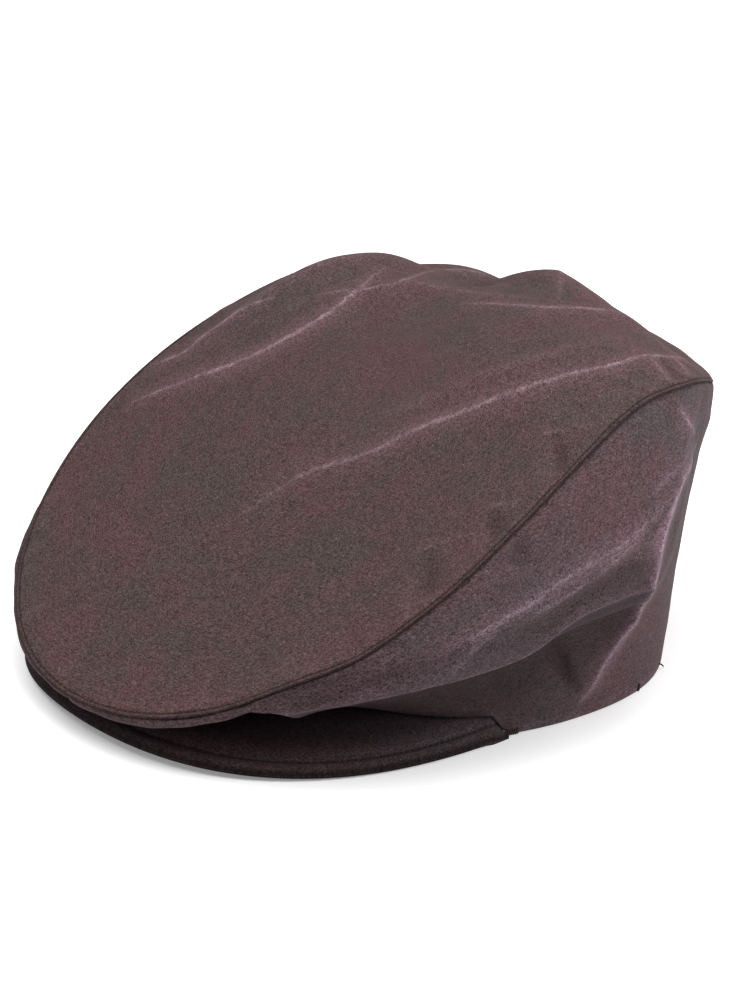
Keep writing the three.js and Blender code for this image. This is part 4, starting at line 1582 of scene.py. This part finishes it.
def cloth_materials():
    """The cloths of the top, the sides and the peak."""
    cloth = bpy.context.scene.cap_cloth
    pitch = bpy.context.scene.cap_stitches.pitch
    # The sides' tint is painted sheen; the peak's darker tone is painted shade under the crown.
    side = tuple(cloth.side_sheen_tint)
    tones = {"top": (1, 1, 1), "sides": side, "peak": scaled(side, cloth.peak_shade_tone)}
    return {
        name: waxed_cloth("waxed_cotton_" + name, cloth, tone, pitch) for name, tone in tones.items()
    }


def stitch_material(name="sewing_thread", factor=1.0):
    """The sewing thread's material, lighter or darker by a factor."""
    return thread(name, scaled(bpy.context.scene.cap_stitches.colour, factor))


class FLATCAP_OT_top_panel(bpy.types.Operator):
    """Build the oval top panel with its folds and sewn edge"""

    bl_idname = "flat_cap.top_panel"
    bl_label = "Top panel"

    def execute(self, context):
        surface = top_surface()
        edge = EDGE_WEAR * bell(surface.from_seam - EDGE_WEAR_INSET, EDGE_WEAR_REACH)
        cloth = cloth_materials()["top"]
        sewn_piece(
            "top_panel", surface, cloth, CROWN_ROW, ring=True, pole=True, edge=edge,
        )
        return {"FINISHED"}


class FLATCAP_OT_side_panels(bpy.types.Operator):
    """Build the left and right side panels with their creases"""

    bl_idname = "flat_cap.side_panels"
    bl_label = "Side panels"

    def execute(self, context):
        for side, name in ((1, "side_panel_left"), (-1, "side_panel_right")):
            surface = side_surface(side)
            hem = HEM_WEAR * bell(surface.place[..., 2], HEM_WEAR_REACH)
            cloth = cloth_materials()["sides"]
            # Painted shade round the lip, behind the rear crease, in front and over the peak; pale wear at
            # the hem
            sewn_piece(name, surface, cloth, painted_shade=recess_shade(surface), edge=hem)
        return {"FINISHED"}


class FLATCAP_OT_peak(bpy.types.Operator):
    """Build the stiff curved peak"""

    bl_idname = "flat_cap.peak"
    bl_label = "Peak"

    def execute(self, context):
        surface = peak_surface()
        # Painted shade on the peak under the crown's brow, growing away from its outer edge
        shade = BROW_SHADE * ease(*BROW_SHADE_ENDS, surface.from_seam)
        sewn_piece("peak", surface, cloth_materials()["peak"], PEAK_ROW, painted_shade=shade)
        return {"FINISHED"}


class FLATCAP_OT_stitches(bpy.types.Operator):
    """Sew the stitches along the crown seam and the peak's edge"""

    bl_idname = "flat_cap.stitches"
    bl_label = "Stitches"

    def execute(self, context):
        sizes = context.scene.cap_stitches
        # The peak's thread is darkened like its cloth, as painted shade under the crown
        dark = stitch_material("peak_thread", context.scene.cap_cloth.peak_shade_tone)
        for name, surface, row, ring, material, slot in (
            ("crown_stitches", top_surface(), CROWN_ROW, True, stitch_material(), "crown_cloth"),
            ("peak_stitches", peak_surface(), PEAK_ROW, False, dark, "peak_cloth"),
        ):
            line, normal, _ = stitch_line(surface, row, ring)
            add_piece(name, stitch_mesh(name, line, normal, sizes), material)
        return {"FINISHED"}


# Tacks on the side panels: which side, angle, distance from the rim, half length along it and up
# it, and turns of the thread
Tack = namedtuple("Tack", "side angle from_rim half_along half_up turns")
TACKS = (
    Tack(1, 75.3, 1.2, 2.6, 1.2, 13),
    Tack(-1, -75.2, 1.0, 2.1, 1.1, 11),
    Tack(1, 110.2, 1.9, 0.3, 1.3, 5),
)
TACK_THREAD = 0.25
SPOT_ROWS = 4
# A loose end of thread: which side, angle, distance from the rim, length, and how it leans
TAIL = (1, 122.5, 2.0, 2.4)
TAIL_STEPS = 6
TAIL_ALONG = 0.5
TAIL_OUT = 0.6
TAIL_DROOP = 0.45


def spot(surface, angle, from_rim):
    """A place on a side panel's outer face, and the directions out of it, along it and up it."""
    c = int(np.argmin(np.abs(surface.place[0, :, 0] / SIDE_MM_PER_DEGREE - angle)))
    r = int(np.argmin(np.abs(surface.place[:, c, 2] - from_rim)))
    out = unit(surface.normal[r, c])
    up = unit(surface.outer[r - SPOT_ROWS, c] - surface.outer[r, c])
    return surface.outer[r, c], out, unit(np.cross(up, out)), up


def tack_line(surface, tack):
    """A zigzag of thread over a spot, and the directions out of the cloth."""
    centre, out, along, up = spot(surface, tack.angle, tack.from_rim)
    t = np.linspace(-1, 1, tack.turns)
    zigzag = np.where(np.arange(tack.turns) % 2, 1, -1)
    flat = tack.half_along > tack.half_up
    a, b = (t, zigzag) if flat else (zigzag, t)
    line = centre + a[:, None] * along * tack.half_along
    line = line + b[:, None] * up * tack.half_up + out * TACK_THREAD
    return line, np.broadcast_to(out, line.shape)


class FLATCAP_OT_tacks(bpy.types.Operator):
    """Sew the tacks at the peak's corners and on the rim, with a loose end of thread"""

    bl_idname = "flat_cap.tacks"
    bl_label = "Tacks"

    def execute(self, context):
        surfaces = {side: side_surface(side) for side in (1, -1)}
        for k, tack in enumerate(TACKS):
            line, out = tack_line(surfaces[tack.side], tack)
            add_thread("tack_%d" % k, line, out)
        side, angle, from_rim, length = TAIL
        centre, out, along, up = spot(surfaces[side], angle, from_rim)
        t = np.linspace(0, 1, TAIL_STEPS)[:, None]
        lean = t * along * TAIL_ALONG + t * out * TAIL_OUT - t * t * up * TAIL_DROOP
        line = centre + length * lean
        add_thread("thread_end", line, np.broadcast_to(up, line.shape))
        return {"FINISHED"}


def add_thread(name, line, out):
    """A bent length of thread as a piece of the cap."""
    sizes = ThreadSizes(length_along(line)[-1] / (len(line) - 1), None, TACK_THREAD)
    add_piece(name, stitch_mesh(name, line, out, sizes), stitch_material())


AIM_HEIGHT = 61.2
LENS_SHIFT = (-0.0474, -0.0359)
CLIP_RANGE = (0.01, 20)
FLOOR_HALF = 5.0
FLOOR_COLOUR = (0.92, 0.92, 0.92, 1)
FLOOR_ROUGHNESS = 0.9
FLOOR_SPECULAR = 0.1
FLOOR_GLOW = 0.2
FLOOR_GLOW_ENDS = (0.9, 2.2)
WHITE = (1, 1, 1, 1)

# Square lights, in metres
Light = namedtuple("Light", "name place size")
LIGHT_AIM = (0, 0, 0.06)
TOP_LIGHT = Light("top_light", (-0.3, -0.3, 1.8), 2.2)
SIDE_LIGHT = Light("side_light", (1.2, 1.0, 0.85), 0.9)
FRONT_LIGHT = Light("front_light", (0.1, -1.4, 0.45), 0.7)


def camera_matrix(stage):
    """The camera's place and turn, from its angles round the aim point."""
    a, e, w = stage.azimuth, stage.elevation, stage.roll
    back = Vector((math.sin(a) * math.cos(e), -math.cos(a) * math.cos(e), math.sin(e)))
    right = Vector((math.cos(a), math.sin(a), 0))
    up = back.cross(right)
    x = right * math.cos(w) + up * math.sin(w)
    y = up * math.cos(w) - right * math.sin(w)
    aim = Vector((0, CENTRE_SHIFT, AIM_HEIGHT)) * MM
    turn = Matrix((x, y, back)).transposed().to_4x4()
    return Matrix.Translation(aim + back * stage.distance) @ turn


def add_area_light(light, power):
    """A soft square light that faces the cap."""
    data = bpy.data.lights.new(light.name, "AREA")
    data.energy = power
    data.size = light.size
    lamp = bpy.data.objects.new(light.name, data)
    bpy.context.scene.collection.objects.link(lamp)
    lamp.location = light.place
    lamp.rotation_mode = "QUATERNION"
    turn = (Vector(light.place) - Vector(LIGHT_AIM)).to_track_quat("Z", "Y")
    lamp.rotation_quaternion = turn


def floor_material():
    """A plain pale floor that glows paler with distance."""
    material, tree, shader = new_material("pale_floor")
    shader.inputs["Base Color"].default_value = FLOOR_COLOUR
    shader.inputs["Roughness"].default_value = FLOOR_ROUGHNESS
    shader.inputs["Specular IOR Level"].default_value = FLOOR_SPECULAR
    place = tree.nodes.new("ShaderNodeTexCoord").outputs["Object"]
    away = tree.nodes.new("ShaderNodeVectorMath")
    away.operation = "LENGTH"
    tree.links.new(place, away.inputs[0])
    glow = range_node(tree, away.outputs["Value"], *FLOOR_GLOW_ENDS, FLOOR_GLOW, 1.0)
    tree.links.new(grey_node(tree, glow), shader.inputs["Emission Color"])
    shader.inputs["Emission Strength"].default_value = 1
    return material


def studio_world(strength):
    """Even light all round, seen by the camera as white."""
    world = bpy.data.worlds.new("studio")
    world.use_nodes = True
    tree = world.node_tree
    light = tree.nodes["Background"]
    light.inputs["Color"].default_value = WHITE
    light.inputs["Strength"].default_value = strength
    seen = tree.nodes.new("ShaderNodeBackground")
    seen.inputs["Color"].default_value = WHITE
    mix = tree.nodes.new("ShaderNodeMixShader")
    tree.links.new(tree.nodes.new("ShaderNodeLightPath").outputs["Is Camera Ray"], mix.inputs[0])
    tree.links.new(light.outputs[0], mix.inputs[1])
    tree.links.new(seen.outputs[0], mix.inputs[2])
    tree.links.new(mix.outputs[0], tree.nodes["World Output"].inputs["Surface"])
    return world


class FLATCAP_OT_stage(bpy.types.Operator):
    """Set the floor, the soft studio light and the camera"""

    bl_idname = "flat_cap.stage"
    bl_label = "Stage"

    def execute(self, context):
        scene = context.scene
        stage = scene.cap_stage
        mesh = bpy.data.meshes.new("floor")
        corners = [(x * FLOOR_HALF, y * FLOOR_HALF, 0) for x, y in ((-1, -1), (1, -1), (1, 1), (-1, 1))]
        mesh.from_pydata(corners, [], [(0, 1, 2, 3)])
        mesh.materials.append(floor_material())
        floor = bpy.data.objects.new("floor", mesh)
        scene.collection.objects.link(floor)

        add_area_light(TOP_LIGHT, stage.key)
        add_area_light(SIDE_LIGHT, stage.key * stage.side)
        add_area_light(FRONT_LIGHT, stage.key * stage.front)

        scene.world = studio_world(stage.world)
        scene.view_settings.view_transform = "Standard"

        data = bpy.data.cameras.new("camera")
        data.lens = stage.lens
        data.shift_x, data.shift_y = LENS_SHIFT
        data.clip_start, data.clip_end = CLIP_RANGE
        camera = bpy.data.objects.new("camera", data)
        scene.collection.objects.link(camera)
        camera.matrix_world = camera_matrix(stage)
        scene.camera = camera
        return {"FINISHED"}


OPERATORS = (
    FLATCAP_OT_top_panel,
    FLATCAP_OT_side_panels,
    FLATCAP_OT_peak,
    FLATCAP_OT_stitches,
    FLATCAP_OT_tacks,
    FLATCAP_OT_stage,
)


class FLATCAP_PT_sidebar(bpy.types.Panel):
    """Sizes, colours and pieces of the cap"""

    bl_idname = "FLATCAP_PT_sidebar"
    bl_label = "Flat cap"
    bl_space_type = "VIEW_3D"
    bl_region_type = "UI"
    bl_category = "Flat cap"

    def draw(self, context):
        for settings in (context.scene.cap_cloth, context.scene.cap_stitches, context.scene.cap_stage):
            box = self.layout.box()
            for name in settings.__annotations__:
                box.prop(settings, name)
        for operator in OPERATORS:
            self.layout.operator(operator.bl_idname)


SETTINGS = {"cap_cloth": ClothSettings, "cap_stitches": StitchSettings, "cap_stage": StageSettings}


def register():
    for kind in (*SETTINGS.values(), *OPERATORS, FLATCAP_PT_sidebar):
        bpy.utils.register_class(kind)
    for name, kind in SETTINGS.items():
        setattr(bpy.types.Scene, name, PointerProperty(type=kind))


def unregister():
    for name in SETTINGS:
        delattr(bpy.types.Scene, name)
    for kind in (FLATCAP_PT_sidebar, *OPERATORS[::-1], *SETTINGS.values()):
        bpy.utils.unregister_class(kind)


def main():
    """Builds the cap and its stage."""
    register()
    for operator in OPERATORS:
        group, name = operator.bl_idname.split(".")
        getattr(getattr(bpy.ops, group), name)()


if __name__ == "__main__":
    main()
